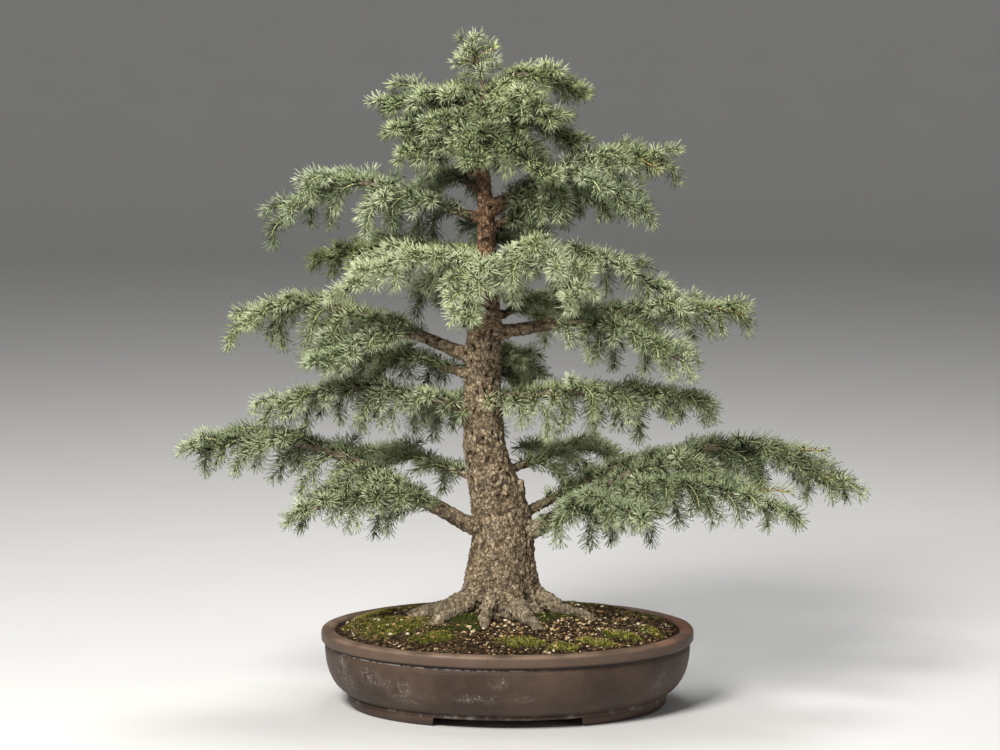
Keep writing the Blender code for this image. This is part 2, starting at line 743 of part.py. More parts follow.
def fitted_twig(limb, number, line, index, room):
    """A side twig, bent or shortened until it crosses nothing."""
    for size, lift in TWIG_FITS:
        twig = twig_line(limb, number, line, index, size, lift)
        if room.is_clear(twig, TWIG_RADIUS, number, index, past=TWIG_ROOT):
            return twig
    return None


def needled(points, radii, whorls, sides, first_way, room, piece, stem_number):
    """A stem with needles all round each whorl and one at its end, each drawn out of a
    small triangle of its surface. A needle that would cross something is left out."""
    bm, rings, end = stem(points, radii, sides, first_way)
    needles = []
    for whorl in whorls:
        before = points[whorl]
        way = unit(points[whorl + 1] - before)
        for face in bmesh.ops.triangulate(bm, faces=rings[whorl])["faces"]:
            root = np.array(face.calc_center_median())
            outward = root - before - way * way.dot(root - before)
            lean = way * math.cos(NEEDLE_LEAN) + unit(outward) * math.sin(NEEDLE_LEAN)
            needles.append((face, root, root + lean * NEEDLE))
    needles.append((end, points[-1], points[-1] + unit(points[-1] - points[-2]) * NEEDLE))
    for face, root, tip in needles:
        if room.is_clear([root, tip], NEEDLE_RADIUS, piece, stem_number):
            bmesh.ops.poke(bm, faces=[face])["verts"][0].co = tip
            room.add([root, tip], [NEEDLE_RADIUS], piece, stem_number)
    return bm


def fill_room(lines):
    """The trunk, the bare limbs and the cores, which all new growth keeps clear of."""
    room = Room()
    heights = np.arange(TRUNK[0][0], WOOD_TOP, 12.0)
    places = [trunk_point(height) for height in heights]
    room.add([place for place, _ in places], [radius * TRUNK_SWELL for _, radius in places], WOOD, 0)
    for number, (name, limb) in enumerate(LIMBS.items()):
        if limb.reach:
            shares = np.linspace(0.0, limb.bare, 5)
            points = [at_share(lines[name], share)[0] for share in shares]
            room.add(points, [limb_radius(limb, share) for share in shares], WOOD, 0)
        points, radii, _ = core_stem(limb, lines[name])
        room.add(points, radii, number, CORE)
    return room


def make_sprays(lines, greens):
    """One node for each leafy spray: a slim core, side twigs and their needles."""
    room = fill_room(lines)
    stems = {}
    for number, (name, limb) in enumerate(LIMBS.items()):
        line = lines[name]
        stems[name] = [(CORE, *core_stem(limb, line), CORE_SIDES, at_share(line, limb.bare)[1])]
        for index in range(1, limb.twigs * TWIGS_PER_STEM, TWIGS_PER_STEM):
            twig = fitted_twig(limb, number, line, index, room)
            if twig is not None:
                points, radii, whorls = twig_stem(twig)
                room.add(points, radii, number, index)
                stems[name].append((index, points, radii, whorls, TWIG_SIDES, None))
    for number, name in enumerate(LIMBS):
        solids = []
        for stem_number, points, radii, whorls, sides, first_way in stems[name]:
            bm = needled(points, radii, whorls, sides, first_way, room, number, stem_number)
            solids.append(as_object("twig", bm))
        spray = solids[0]
        spray.name = "spray_" + name
        spray.data.materials.append(greens[number % len(greens)])
        fuse(spray, solids[1:])


def centre_all():
    """Put the middle of the whole object's box over the origin."""
    frame = bpy.data.objects.new("bonsai", None)
    bpy.context.scene.collection.objects.link(frame)
    pieces = [thing for thing in bpy.data.objects if thing.type == "MESH"]
    corners = np.array([vert.co[:2] for piece in pieces for vert in piece.data.vertices])
    middle = (corners.min(axis=0) + corners.max(axis=0)) / 2
    for piece in pieces:
        piece.parent = frame
    frame.location = (-middle[0], -middle[1], 0.0)


def main():
    clear_scene()
    clay = material("red brown stoneware", (0.105, 0.068, 0.056), 0.72)
    earth = material("damp soil", (0.045, 0.032, 0.022), 0.95)
    bark = material("cedar bark", (0.20, 0.15, 0.11), 0.85)
    plastic = material("black mesh plastic", (0.02, 0.02, 0.02), 0.5)
    greens = [
        material("blue grey needles", (0.13, 0.21, 0.16), 0.6),
        material("pale green needles", (0.19, 0.28, 0.15), 0.6),
        material("dark green needles", (0.08, 0.14, 0.09), 0.6),
    ]
    make_pot(clay)
    make_screen("drain_screen_left", -DRAIN_X, plastic)
    make_screen("drain_screen_right", DRAIN_X, plastic)
    make_soil(earth)
    lines = {}
    for number, (name, limb) in enumerate(LIMBS.items()):
        lines[name] = limb_line(limb, number, lines)
    make_wood(lines, bark)
    make_sprays(lines, greens)
    centre_all()


main()
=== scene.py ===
"""The looks of a deodar cedar bonsai in its oval stoneware pot.

The tree follows the same lines of growth as its plain model, with three side twigs
for each one there, their branchlets and all their needles. Lengths are in
millimetres from the middle of the pot, +X is to the viewer's right and -Y is to the
front. They are turned into metres in the frame when a mesh is finished.
"""

import math
import random
from collections import namedtuple

import bmesh
import bpy
import numpy as np
from mathutils import Matrix, Vector, noise


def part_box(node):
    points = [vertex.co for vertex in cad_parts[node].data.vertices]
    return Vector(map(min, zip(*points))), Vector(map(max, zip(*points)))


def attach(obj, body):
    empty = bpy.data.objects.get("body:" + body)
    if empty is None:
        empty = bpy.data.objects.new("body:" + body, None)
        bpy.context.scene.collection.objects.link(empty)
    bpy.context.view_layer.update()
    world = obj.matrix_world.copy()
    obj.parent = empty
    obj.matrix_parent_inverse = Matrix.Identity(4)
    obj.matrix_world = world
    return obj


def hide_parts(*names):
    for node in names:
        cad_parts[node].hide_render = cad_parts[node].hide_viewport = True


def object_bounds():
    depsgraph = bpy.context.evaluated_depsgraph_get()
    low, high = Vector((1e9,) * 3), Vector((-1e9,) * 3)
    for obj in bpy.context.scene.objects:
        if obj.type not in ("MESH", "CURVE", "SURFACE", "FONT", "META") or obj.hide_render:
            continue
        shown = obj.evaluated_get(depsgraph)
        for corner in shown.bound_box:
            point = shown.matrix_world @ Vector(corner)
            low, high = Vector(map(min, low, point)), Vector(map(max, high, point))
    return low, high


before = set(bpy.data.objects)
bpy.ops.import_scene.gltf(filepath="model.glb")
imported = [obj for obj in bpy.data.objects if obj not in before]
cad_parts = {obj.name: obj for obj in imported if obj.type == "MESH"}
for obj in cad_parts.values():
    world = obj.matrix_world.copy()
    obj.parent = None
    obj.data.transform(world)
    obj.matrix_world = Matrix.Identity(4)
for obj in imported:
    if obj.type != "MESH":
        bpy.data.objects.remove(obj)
plain_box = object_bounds()

MM = 0.001
UP = np.array((0.0, 0.0, 1.0))
pot_low, pot_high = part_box("pot")
HOME = np.array(((pot_low.x + pot_high.x) / 2, (pot_low.y + pot_high.y) / 2, 0.0))

# Camera, turned to the middle of the photograph, in metres
VIEW_MIDDLE = Vector((HOME[0] - 0.0093, HOME[1], 0.4106))
VIEW_DISTANCE = 4.41
VIEW_PITCH = math.radians(7.7)
LENS = 129.6
SENSOR = 36.0

# Floor, backdrop and lights in metres. A light has a name, place, size, power and colour.
FLOOR_REACH = 5.5
BACKDROP_CURVE = 3.0
BACKDROP_TOP = 5.0
BACKDROP_STEPS = 12
BACKDROP_SIDES = 96
LIT_PLACE = Vector((0.0, 0.0, 0.4))
LIGHTS = (
    ("key light", (-1.2, -2.3, 2.6), 1.0, 181, (1.0, 0.955, 0.875)),
    ("fill light", (2.2, -1.6, 1.4), 2.0, 8, (1.0, 0.98, 0.95)),
    ("top light", (0.2, 0.5, 2.9), 1.2, 52, (1.0, 0.975, 0.93)),
)
WORLD_COLOUR = (0.95, 0.925, 0.88, 1.0)
WORLD_STRENGTH = 0.15

# Pot
POT_HALF_WIDTH = 230.0
POT_HALF_DEPTH = 177.0
POT_HEIGHT = 96.0
POT_STEPS = 144
FLOOR_UNDER = 11.0
FLOOR_TOP = 20.0
ROUND_CORE = 120.0
CLAY_WAVE = 0.5
# Outlines of the bowl without its feet and of a foot: inset from the half width, height
BOWL = (
    (34, FLOOR_UNDER), (32.2, 11.6), (31.6, 13.2), (31.8, 15.2), (32.8, 16.2), (31.5, 17.2),
    (28, 19.4), (23, 23.0), (17.5, 28.5), (13, 35.5), (9.4, 43.5), (6.8, 52.0), (5.2, 60.5),
    (4.4, 68.5), (4.2, 75.5), (5.4, 77.6), (5.9, 79.4), (4.8, 80.8), (1.6, 81.6), (0.4, 82.8),
    (0, 84.4), (0, 92.2), (0.6, 94.2), (2.0, 95.5), (4.2, POT_HEIGHT), (13.4, POT_HEIGHT),
    (15.6, 95.4), (17.0, 93.6), (17.4, 90.0), (18, 58), (22, 42), (29, 29), (40, FLOOR_TOP),
)
FOOT = (
    (62, 12.5), (63, 6.0), (61, 1.2), (59, 0.0), (39.5, 0.0), (37.0, 0.8), (34.4, 3.4), (32.6, 7.0),
    (32.0, FLOOR_UNDER), (33.5, 12.5), (62, 12.5),
)
FOOT_GAP_HALF = 91.0
FOOT_END_SLANT = 1.5
FOOT_END_ROUND = 2.4
# Lime left by water on the clay: place, reach along the wall, reach upwards, strength
LIME_MARKS = (
    ((-205, -76, 54), 20, 26, 1.0), ((-197, -86, 38), 16, 14, 1.0), ((-170, -116, 58), 28, 15, 0.60),
    ((-134, -138, 46), 24, 15, 0.70), ((-112, -146, 34), 30, 18, 0.45), ((-36, -168, 42), 34, 7, 0.95),
    ((-10, -173, 62), 13, 9, 0.95), ((22, -168, 42), 18, 6, 0.60), ((186, -92, 46), 18, 24, 0.60),
    ((178, 96, 50), 30, 22, 0.7), ((-80, 160, 42), 34, 20, 0.6),
)

# Soil
SOIL_HALF_WIDTH = 213.0
SOIL_HALF_DEPTH = 160.0
SOIL_EDGE_Z = 91.5
SOIL_RISE = 26.0
SOIL_POWER = 0.8
SOIL_RIPPLE = 1.4
SOIL_RIPPLE_WIDE = 17.0
SOIL_RIPPLE_DEEP = 13.0
SOIL_RINGS = 64
SOIL_TOP_INSET = 17.9
SEAT = 0.3
SOIL_SIDE = ((18.6, 58), (26.6, 34), (41, FLOOR_TOP + SEAT))
CRUMB_HEIGHT = 0.9
LUMP_HEIGHT = 1.6
MOSS_HEIGHT = 2.6
TRUNK_FOOT = 50
GRAINS = 3600
MOSS_LEAVES = 12500
LITTER = 1300
# Moss on the soil: place, half width, half depth, hue and how thick it grows
MOSS = (
    (-90, -104, 28, 12, 0.58, 1.6), (-60, -78, 26, 14, 0.20, 1.0), (-138, -46, 46, 34, 0.56, 0.9),
    (-168, -8, 32, 24, 0.64, 0.9), (-170, 58, 30, 24, 0.92, 1.4), (-120, 60, 40, 26, 0.58, 0.8),
    (21, -126, 30, 11, 0.80, 1.8), (66, -134, 20, 8, 0.95, 1.4), (106, -112, 22, 9, 0.88, 1.4),
    (139, -84, 24, 11, 0.76, 1.4), (176, -48, 15, 18, 0.66, 1.1), (-46, -48, 22, 12, 0.16, 2.4),
    (38, -44, 20, 12, 0.14, 2.4), (66, -26, 16, 12, 0.20, 1.2), (94, 84, 50, 26, 0.35, 0.7),
    (-20, 110, 50, 22, 0.45, 0.8), (168, 44, 22, 24, 0.5, 0.6),
)

# Trunk stations: height, x, y, radius
TRUNK = (
    (70, -4, 0, 48), (112, -5, 0, 60), (139, -6, 0, 52), (163, -7, 0, 45), (182, -7, 0, 41),
    (219, -6, 0, 37), (256, -13, 0, 34), (298, -23, -1, 28), (324, -28, -2, 26), (404, -31, -4, 22.5),
    (466, -29, -6, 21.5), (503, -27, -7, 18), (553, -25, -8, 12.5), (615, -27, -9, 9.5),
    (664, -31, -10, 9), (726, -24, -12, 7.3), (764, -29, -14, 4.4), (790, -36, -14, 2.4),
    (818, -42, -14, 1.3),
)
TRUNK_SIDES = 48
TRUNK_STEP = 5.0
WOOD_TOP = 762.0
FLUTES = 5
FLUTE_DEPTH = 0.10
FLUTE_TURN = 1.2
FLUTE_TOP = 230.0
LUMPS = 3
LUMP_DEPTH = 0.035
LUMP_TURN_PER_MM = 1 / 31
VALLEY_TOP = 168.0
VALLEY_FADE = 45.0
VALLEY_DEPTH = 0.36

# Surface roots: compass angle, reach from the trunk's axis, thickness at the trunk
ROOTS = (
    (175, 124, 10), (-168, 116, 12), (-148, 104, 17), (-110, 82, 13), (-66, 97, 16),
    (-38, 76, 9), (-16, 112, 15), (40, 98, 13), (95, 84, 12), (140, 96, 13),
)
ROOT_SIDES = 14
ROOT_STEPS = 36
ROOT_FROM_Z = 142.0
ROOT_START = 18.0
ROOT_SLOPE = 1.6
ROOT_SLOPE_POWER = 1.25
ROOT_SWING = 5.0
ROOT_GIRTH = 0.95
ROOT_TAPER = 0.5
ROOT_SHOWS = 0.78
ROOT_SPREAD = 1.0
ROOT_DIVE = 9.0

# Old cuts on the trunk: height, compass angle, radius, how far it stands out
CUTS = ((287, -82, 9, 4), (272, -8, 8, 5.5), (664, -150, 8, 8))
CUT_SIDES = 16

# Bark
WOOD_VOXEL = 1.7
WOOD_SMOOTHING = 4
HOLLOW_PASSES = 16
SCALE_WIDE = 6.2
SCALE_TALL = 9.0
SCALE_RELIEF = 1.9
PIT_DEPTH = 2.0
PITS_FROM_Z = 240.0
LIMBS_FROM_Z = 165
ROOTS_UP_TO_Z = 150
LIP_HEIGHT = 2.6
SCAR_DEPTH = 14.0
BARK_SEED = 5
BARK_LAYERS = ("crack", "young", "root", "hollow", "along")

# Limbs. Start is a height on the trunk or a share of the other limb that is the source,
# and crest and tip are heights above the limb's start. Bare is the share with no leaves,
# side is the longest side twig and droop is how far it bends. The last numbers are how
# much yellower the leaves are and how much lighter they are painted: painted light above
# 0, as on the back limbs and the skirts, and painted shade below 0, as on the crown.
Limb = namedtuple("Limb", "start azimuth reach crest crest_at tip radius bare side droop twigs "
                  "yellower paler source", defaults=(0.1, 0.0, "trunk"))
LIMBS = {
    "low_left": (207, -173, 370, 132, 0.82, 114, 11, 0.26, 86, 66, 8, 0.15, -0.12),
    "low_left_front": (0.15, -147, 224, 40, 0.5, 26, 6, 0.16, 60, 62, 5, 0.15, -0.09, "low_left"),
    "low_back_left": (278, 140, 240, 22, 0.6, 5, 5, 0.16, 60, 60, 5, 0.45, 0.2),
    "second_left": (366, -166, 264, 34, 0.6, 12, 7.5, 0.14, 74, 88, 6, 0.2, 0.06),
    "third_left": (430, -175, 292, 70, 0.78, 46, 9, 0.26, 84, 78, 6, 0.3, 0.04),
    "third_left_front": (0.15, -146, 184, 20, 0.4, -8, 5, 0.34, 54, 66, 4, 0.1, 0.0, "third_left"),
    "mid_back_left": (408, 154, 195, 20, 0.6, 0, 6, 0.18, 62, 66, 5, 0.4, 0.1),
    "fourth_left": (556, 168, 212, 8, 0.5, -8, 5, 0.1, 58, 56, 5, 0.55, 0.05),
    "fifth_left": (602, -176, 250, 46, 0.66, -4, 6, 0.12, 92, 98, 6, 0.05, 0.0),
    "crown_left_top": (738, 178, 118, 14, 0.5, -2, 3.5, 0.12, 52, 60, 4, 0.15, -0.15),
    "crown_left_mid": (712, -158, 114, 12, 0.4, 0, 3.5, 0.12, 52, 60, 4, 0.15, -0.15),
    "crown_left_low": (692, -148, 106, 8, 0.5, -8, 3.5, 0.14, 50, 62, 4, 0.15, -0.15),
    "crown_front": (702, -100, 85, 8, 0.4, -28, 3.5, 0.18, 46, 62, 4, 0.25, -0.15),
    "crown_front_right": (684, -50, 116, 10, 0.4, -26, 3.5, 0.1, 50, 68, 4, 0.25, -0.15),
    "crown_right_top": (752, 4, 114, 28, 0.4, -2, 3.5, 0.1, 50, 58, 4, 0.4, -0.02),
    "crown_right_mid": (715, -10, 106, 8, 0.4, -24, 3.5, 0.12, 50, 62, 4, 0.25, -0.15),
    "crown_right_front": (737, -42, 104, 14, 0.4, -8, 3.5, 0.14, 46, 58, 4, 0.25, -0.15),
    "crown_back_right": (722, 66, 105, 14, 0.5, -8, 3.5, 0.16, 48, 58, 4, 0.3, -0.1),
    "crown_back_left": (742, 125, 95, 14, 0.5, -6, 3.5, 0.16, 44, 58, 4, 0.3, -0.1),
    "fifth_right": (608, -4, 214, 76, 0.74, 62, 6, 0.1, 70, 62, 6, 0.2, 0.0),
    "fifth_right_front": (620, -20, 204, 34, 0.5, -2, 5, 0.14, 66, 88, 5),
    "fifth_right_back": (588, 20, 158, 40, 0.6, 32, 5, 0.14, 60, 66, 5),
    "skirt_right": (530, -52, 178, 42, 0.45, -10, 6, 0.14, 66, 76, 5, 0.25, 0.24),
    "skirt_left": (536, -146, 200, 28, 0.45, -10, 6, 0.14, 60, 62, 5, 0.3, 0.23),
    "skirt_centre": (520, -104, 105, 26, 0.45, -36, 5, 0.24, 52, 76, 4, 0.3, 0.26),
    "fourth_right": (545, -8, 218, 16, 0.5, -30, 6, 0.14, 66, 84, 5, 0.2, 0.05),
    "third_right": (462, -4, 312, 32, 0.82, 28, 9, 0.3, 78, 66, 6, 0.2, 0.04),
    "third_right_front": (0.16, -27, 214, 12, 0.4, -28, 5, 0.22, 66, 76, 5, 0.2, 0.06, "third_right"),
    "third_back_right": (476, 42, 170, 22, 0.5, -4, 5.5, 0.2, 64, 62, 5, 0.4, 0.14),
    "mid_back_right": (424, 54, 104, 6, 0.4, -30, 5, 0.22, 40, 62, 4, 0.5, 0.22),
    "second_right": (380, -9, 272, 14, 0.5, 6, 7.5, 0.12, 78, 108, 7, 0.35, 0.1),
    "low_back_right": (288, 48, 235, 16, 0.6, -4, 6, 0.2, 66, 60, 5, 0.35, 0.2),
    "low_right": (203, -3, 412, 122, 0.68, 66, 10, 0.2, 100, 94, 9, 0.12, -0.07),
    "low_right_outer": (196, -25, 378, 96, 0.62, 68, 6.5, 0.26, 68, 76, 7, 0.12, -0.04),
    "low_right_front": (0.12, -52, 205, 56, 0.5, 46, 5.5, 0.16, 58, 60, 5, 0.1, 0.0, "low_right_outer"),
    "low_right_back": (226, 16, 325, 78, 0.72, 60, 7, 0.18, 80, 64, 6, 0.25, 0.0),
    "low_back": (336, 104, 275, 18, 0.6, -6, 6.5, 0.2, 72, 64, 5),
    "mid_back": (395, 82, 250, 14, 0.6, -6, 6, 0.18, 68, 64, 5),
    "third_back": (500, 110, 225, 18, 0.6, -8, 5.5, 0.16, 66, 64, 5),
    "fourth_back": (566, 80, 190, 14, 0.5, -10, 5, 0.14, 60, 62, 5),
    "fifth_back": (636, 116, 155, 14, 0.5, -8, 4.5, 0.16, 54, 60, 4),
    "leader": (WOOD_TOP, 0, 0, 0, 0, 0, 4.0, 0, 35, 40, 5, 0.1, -0.04),
}
LIMBS = {name: Limb(*row) for name, row in LIMBS.items()}
LIMB_STEPS = 8
LIMB_SIDES = 12
LIMB_TIP_RADIUS = 2.4
LIMB_TAPER = 0.8
CREST_POWER = 1.25
SWAY = 0.035
# Limbs whose short inner shoots hide them right up to the trunk, but not at the back
LEAFY_TO_TRUNK = ("second", "skirt", "fourth", "crown")

# Twigs, their branchlets and this year's new shoots, with their radii at root and tip
TWIGS_PER_STEM = 3
LEADER_TWIGS = 11
LEADER_TIP = 0.35
LEADER_TURN = 137.5
TWIG_PITCHES = (12, 34, -16, 24, 0)
TWIG_RADII = (1.25, 0.8)
TWIG_STEPS = 8
TWIG_YAW = (38, 68)
TWIG_CURL = 0.4
TWIG_VARIES = (0.75, 1.1)
INNER_TWIGS = 4
INNER_TWIG_LENGTH = (26, 42)
BRANCHLET_SPACING = 19.0
BRANCHLET_STEPS = 4
BRANCHLET_YAW = (30, 55)
BRANCHLET_SIZE = (0.32, 0.48)
BRANCHLET_RADII = (0.62, 0.4)
NEW_SHOOT_RADII = (0.8, 0.8)
NEW_SHOOT_TONE = 0.42
NEW_SHOOT_SPACING = 1.0
NEW_SHOOT_YELLOWER = 0.6
# Where each new shoot leaves its limb, its turn to the side, pitch, droop and length
NEW_SHOOTS = {
    "fifth_right": ((0.72, 6, 4, 34, 66), (0.80, -24, -12, 22, 44)),
    "third_right": ((0.78, -8, 10, 30, 72), (0.86, 22, 0, 34, 46)),
    "low_right": ((0.80, -10, 18, 24, 62), (0.88, -34, 4, 40, 46), (0.92, 10, 2, 26, 40)),
    "low_right_outer": ((0.82, 12, 20, 28, 60),),
    "second_right": ((0.86, 10, 6, 44, 50),),
    "leader": ((0.45, 150, 40, 30, 26), (0.62, -20, 44, 24, 24)),
}

# Needles
NEEDLE_LENGTH = (13.0, 17.5)
NEEDLE_WIDTH = (0.95, 1.35)
NEEDLE_TIP = 0.75
NEEDLE_SPACING = 0.70
NEEDLE_TURN = 2.4
NEEDLE_LIFT = 0.07
TIP_NEEDLES = 9
ROSETTE_SPACING = 5.2
ROSETTE_NEEDLES = 15
ROSETTE_TONE = 0.34

# The plain model's box in millimetres about the pot, and how far of each side the
# shoots and their needles may stand out of it
BOX_LOW, BOX_HIGH = (np.array(tuple(corner) - HOME) / MM for corner in plain_box)
STAND_OUT = 0.025


# Materials

class Value:
    """A socket in a material. Sums on it become Math nodes."""

    def __init__(self, finish, socket):
        self.finish = finish
        self.socket = socket

    def __add__(self, other):
        return self.finish.math("ADD", self, other)

    def __sub__(self, other):
        return self.finish.math("SUBTRACT", self, other)

    def __rsub__(self, other):
        return self.finish.math("SUBTRACT", other, self)

    def __mul__(self, other):
        return self.finish.math("MULTIPLY", self, other)

    __radd__ = __add__
    __rmul__ = __mul__


class Finish:
    """A material and the few kinds of node that the finishes here are made of."""

    def __init__(self, name):
        self.material = bpy.data.materials.new(name)
        self.material.use_nodes = True
        self.tree = self.material.node_tree
        self.place = self.node("ShaderNodeTexCoord", output="Object")

    def node(self, kind, settings=None, inputs=None, output=0):
        """A node of any kind, with its settings made first and then its inputs."""
        made = self.tree.nodes.new(kind)
        for name, value in (settings or {}).items():
            if name == "stops":
                self.set_stops(made.color_ramp, value)
            else:
                setattr(made, name, value)
        for name, value in (inputs or {}).items():
            self.feed(made.inputs[name], value)
        return Value(self, made.outputs[output])

    def set_stops(self, ramp, stops):
        while len(ramp.elements) < len(stops):
            ramp.elements.new(1.0)
        for element, (position, colour) in zip(ramp.elements, stops):
            element.position = position
            element.color = (*colour, 1.0)

    def feed(self, socket, value):
        if isinstance(value, Value):
            self.tree.links.new(value.socket, socket)
        else:
            socket.default_value = (*value, 1.0) if socket.type == "RGBA" else value

    def math(self, operation, first, second=0.0):
        return self.node("ShaderNodeMath", {"operation": operation}, {0: first, 1: second})

    def vector(self, operation, first, second, output=0):
        return self.node("ShaderNodeVectorMath", {"operation": operation}, {0: first, 1: second}, output)

    def parts_of(self, place):
        """The three numbers of a place or a colour."""
        split = self.node("ShaderNodeSeparateXYZ", inputs={0: place}).socket.node
        return [Value(self, output) for output in split.outputs]

    def attribute(self, name):
        return self.node("ShaderNodeAttribute", {"attribute_name": name}, output="Fac")

    def stretched(self, scale):
        return self.node("ShaderNodeMapping", inputs={"Vector": self.place, "Scale": scale})

    def noise(self, scale, detail=3.0, roughness=0.5, output=0):
        """Cloudy noise, which is stretched if its scale has three numbers."""
        place = self.place
        if isinstance(scale, tuple):
            place, scale = self.stretched(scale), 1.0
        return self.node("ShaderNodeTexNoise", inputs={
            "Vector": place, "Scale": scale, "Detail": detail, "Roughness": roughness}, output=output)

    def cells(self, place, scale, feature="F1", output="Distance"):
        return self.node("ShaderNodeTexVoronoi", {"feature": feature},
                         {"Vector": place, "Scale": scale}, output)

    def between(self, value, low, high):
        """0 up to low and 1 from high, smooth between them."""
        return self.node("ShaderNodeMapRange", {"interpolation_type": "SMOOTHSTEP"}, {
            "Value": value, "From Min": low, "From Max": high})

    def below(self, value, low, high):
        """1 up to low and 0 from high."""
        return 1 - self.between(value, low, high)

    def band(self, value, start, risen, falling, end):
        """1 from risen to falling, and 0 up to start and from end."""
        return self.between(value, start, risen) * self.below(value, falling, end)

    def patches(self, low, high, *cloud):
        """Patches where a noise is over high, with soft edges down to low."""
        return self.between(self.noise(*cloud), low, high)

    def threads(self, level, width, *cloud):
        """Thin lines where a noise crosses a level."""
        return self.below(self.math("ABSOLUTE", self.noise(*cloud) - level), 0.0, width)

    def mix(self, share, first, second):
        return self.node("ShaderNodeMix", {"data_type": "RGBA"}, {0: share, 6: first, 7: second}, 2)

    def painted(self, colour, *coats):
        """A colour with coats over it, each given as its share and its own colour."""
        for share, coat in coats:
            colour = self.mix(share, colour, coat)
        return colour

    def ramp(self, value, *stops):
        return self.node("ShaderNodeValToRGB", {"stops": stops}, {"Fac": value}, "Color")

    def done(self, colour, roughness, relief=None, depth=0.0, shine=0.5):
        """The material, with a relief of a depth in metres."""
        inputs = {"Base Color": colour, "Roughness": roughness, "Specular IOR Level": shine}
        if relief is not None:
            inputs["Normal"] = self.node("ShaderNodeBump", inputs={
                "Height": relief, "Distance": depth}, output="Normal")
        for name, value in inputs.items():
            self.feed(self.tree.nodes["Principled BSDF"].inputs[name], value)
        return self.material


def clay_finish():
    finish = Finish("unglazed stoneware")
    x, _, height = finish.parts_of(finish.place)
    cloud = finish.noise(17, 5, 0.66)
    grain = finish.noise(900, 2)
    wiped = finish.noise((14, 14, 420))
    rim_edge = finish.between(height, 0.0915, 0.0955)
    ruddy = finish.between(x, 0.13, 0.19) * finish.between(cloud, 0.42, 0.56)
    body = finish.painted(
        (0.028, 0.0155, 0.0095),
        (finish.between(cloud, 0.32, 0.68), (0.078, 0.048, 0.033)),
        (wiped * 0.35, (0.090, 0.056, 0.038)),
        (finish.between(grain, 0.62, 0.74) * 0.3, (0.045, 0.030, 0.026)),
        # A painted highlight on the band of the rim.
        (finish.between(height, 0.0800, 0.0830) * 0.32, (0.190, 0.130, 0.096)),
        (rim_edge * finish.patches(0.34, 0.62, 22) * 0.6, (0.27, 0.187, 0.140)),
        (rim_edge * ruddy * 0.5, (0.26, 0.090, 0.052)),
        # Painted shade in the groove under the rim.
        (finish.band(height, 0.0778, 0.0792, 0.0800, 0.0812) * 0.9, (0.018, 0.012, 0.010)))
    lime = 0
    for point, across, upwards, strength in LIME_MARKS:
        scale = np.array((1 / across, 1 / across, 1 / upwards)) / MM
        middle = (np.array(point) * MM + HOME) * scale
        away = finish.vector("DISTANCE", finish.stretched(scale), middle, "Value")
        lime += finish.below(away, 0.0, 1.5) * strength
    veins = finish.threads(0.5, 0.022, (60, 60, 38), 6, 0.68)
    scratches = finish.threads(0.48, 0.014, (36, 36, 120), 6, 0.7)
    specks = finish.patches(0.50, 0.68, 420, 3, 0.6)
    haze = finish.patches(0.44, 0.72, 75, 5, 0.7)
    crust = (veins * 0.9 + scratches * 0.8) * (0.25 + specks) + haze * specks * 0.35 + haze * 0.10
    # A painted highlight along the ledge low on the bowl and the feet's top edge, broken into patches.
    ledge_highlight = finish.band(height, 0.0085, 0.0125, 0.0150, 0.0180) * finish.patches(0.50, 0.68, 70, 4)
    seam_line = (finish.band(height, 0.0768, 0.0778, 0.0782, 0.0792)
                 * finish.patches(0.47, 0.56, 90, 5, 0.65) * finish.below(x, -0.12, 0.10))
    # Lime marks, the painted highlight along the ledge and the pale line under the rim, all in the
    # lime's colour.
    marks = crust * finish.between(lime, 0.05, 0.75) * 0.8 + ledge_highlight * 0.35 + seam_line * 0.7
    white = finish.node("ShaderNodeClamp", inputs={0: marks})
    nicks = finish.patches(0.60, 0.72, (160, 160, 60), 4, 0.7)
    return finish.done(
        finish.mix(white, body, (0.47, 0.45, 0.43)),
        0.46 + cloud * 0.16 + nicks * 0.15 + white * 0.25,
        grain * 0.6 + wiped * 0.9 + white * 0.6 + cloud * 0.8 - nicks * 0.7, 0.0006, shine=0.35)


def plastic_finish():
    finish = Finish("black mesh plastic")
    dust = finish.noise(240, 4)
    colour = finish.mix(finish.between(dust, 0.45, 0.7), (0.012, 0.012, 0.013), (0.06, 0.05, 0.04))
    return finish.done(colour, 0.35 + dust * 0.4, dust, 0.0002)


def earth_finish():
    finish = Finish("damp soil")
    lumps = finish.noise(120, 5, 0.6)
    earth = finish.ramp(
        finish.parts_of(finish.cells(finish.place, 300, output="Color"))[0],
        (0.0, (0.007, 0.005, 0.003)),
        (0.55, (0.024, 0.015, 0.008)),
        (0.85, (0.070, 0.044, 0.024)),
        (1.0, (0.170, 0.115, 0.065)))
    moss = finish.attribute("moss") + (lumps - 0.5) * 0.5
    green = finish.mix(finish.noise(55), (0.018, 0.023, 0.005), (0.060, 0.066, 0.013))
    return finish.done(
        finish.mix(finish.between(moss, 0.25, 0.6), earth, green), 0.78 + lumps * 0.2,
        finish.cells(finish.place, 420) * 0.8 + lumps, 0.0016, shine=0.1)


def grain_finish():
    finish = Finish("soil granules")
    pitted = finish.noise(700, 4, 0.65)
    colour = finish.ramp(
        finish.attribute("kind"),
        (0.0, (0.020, 0.013, 0.008)),
        (0.22, (0.050, 0.032, 0.018)),
        (0.42, (0.130, 0.082, 0.040)),
        (0.58, (0.420, 0.235, 0.095)),
        (0.72, (0.460, 0.340, 0.180)),
        (0.86, (0.620, 0.520, 0.340)),
        (1.0, (0.780, 0.720, 0.600)))
    colour = finish.mix(finish.between(pitted, 0.5, 0.75) * 0.5, colour, (0.05, 0.035, 0.022))
    return finish.done(colour, 0.72 + pitted * 0.2, pitted, 0.0004, shine=0.2)


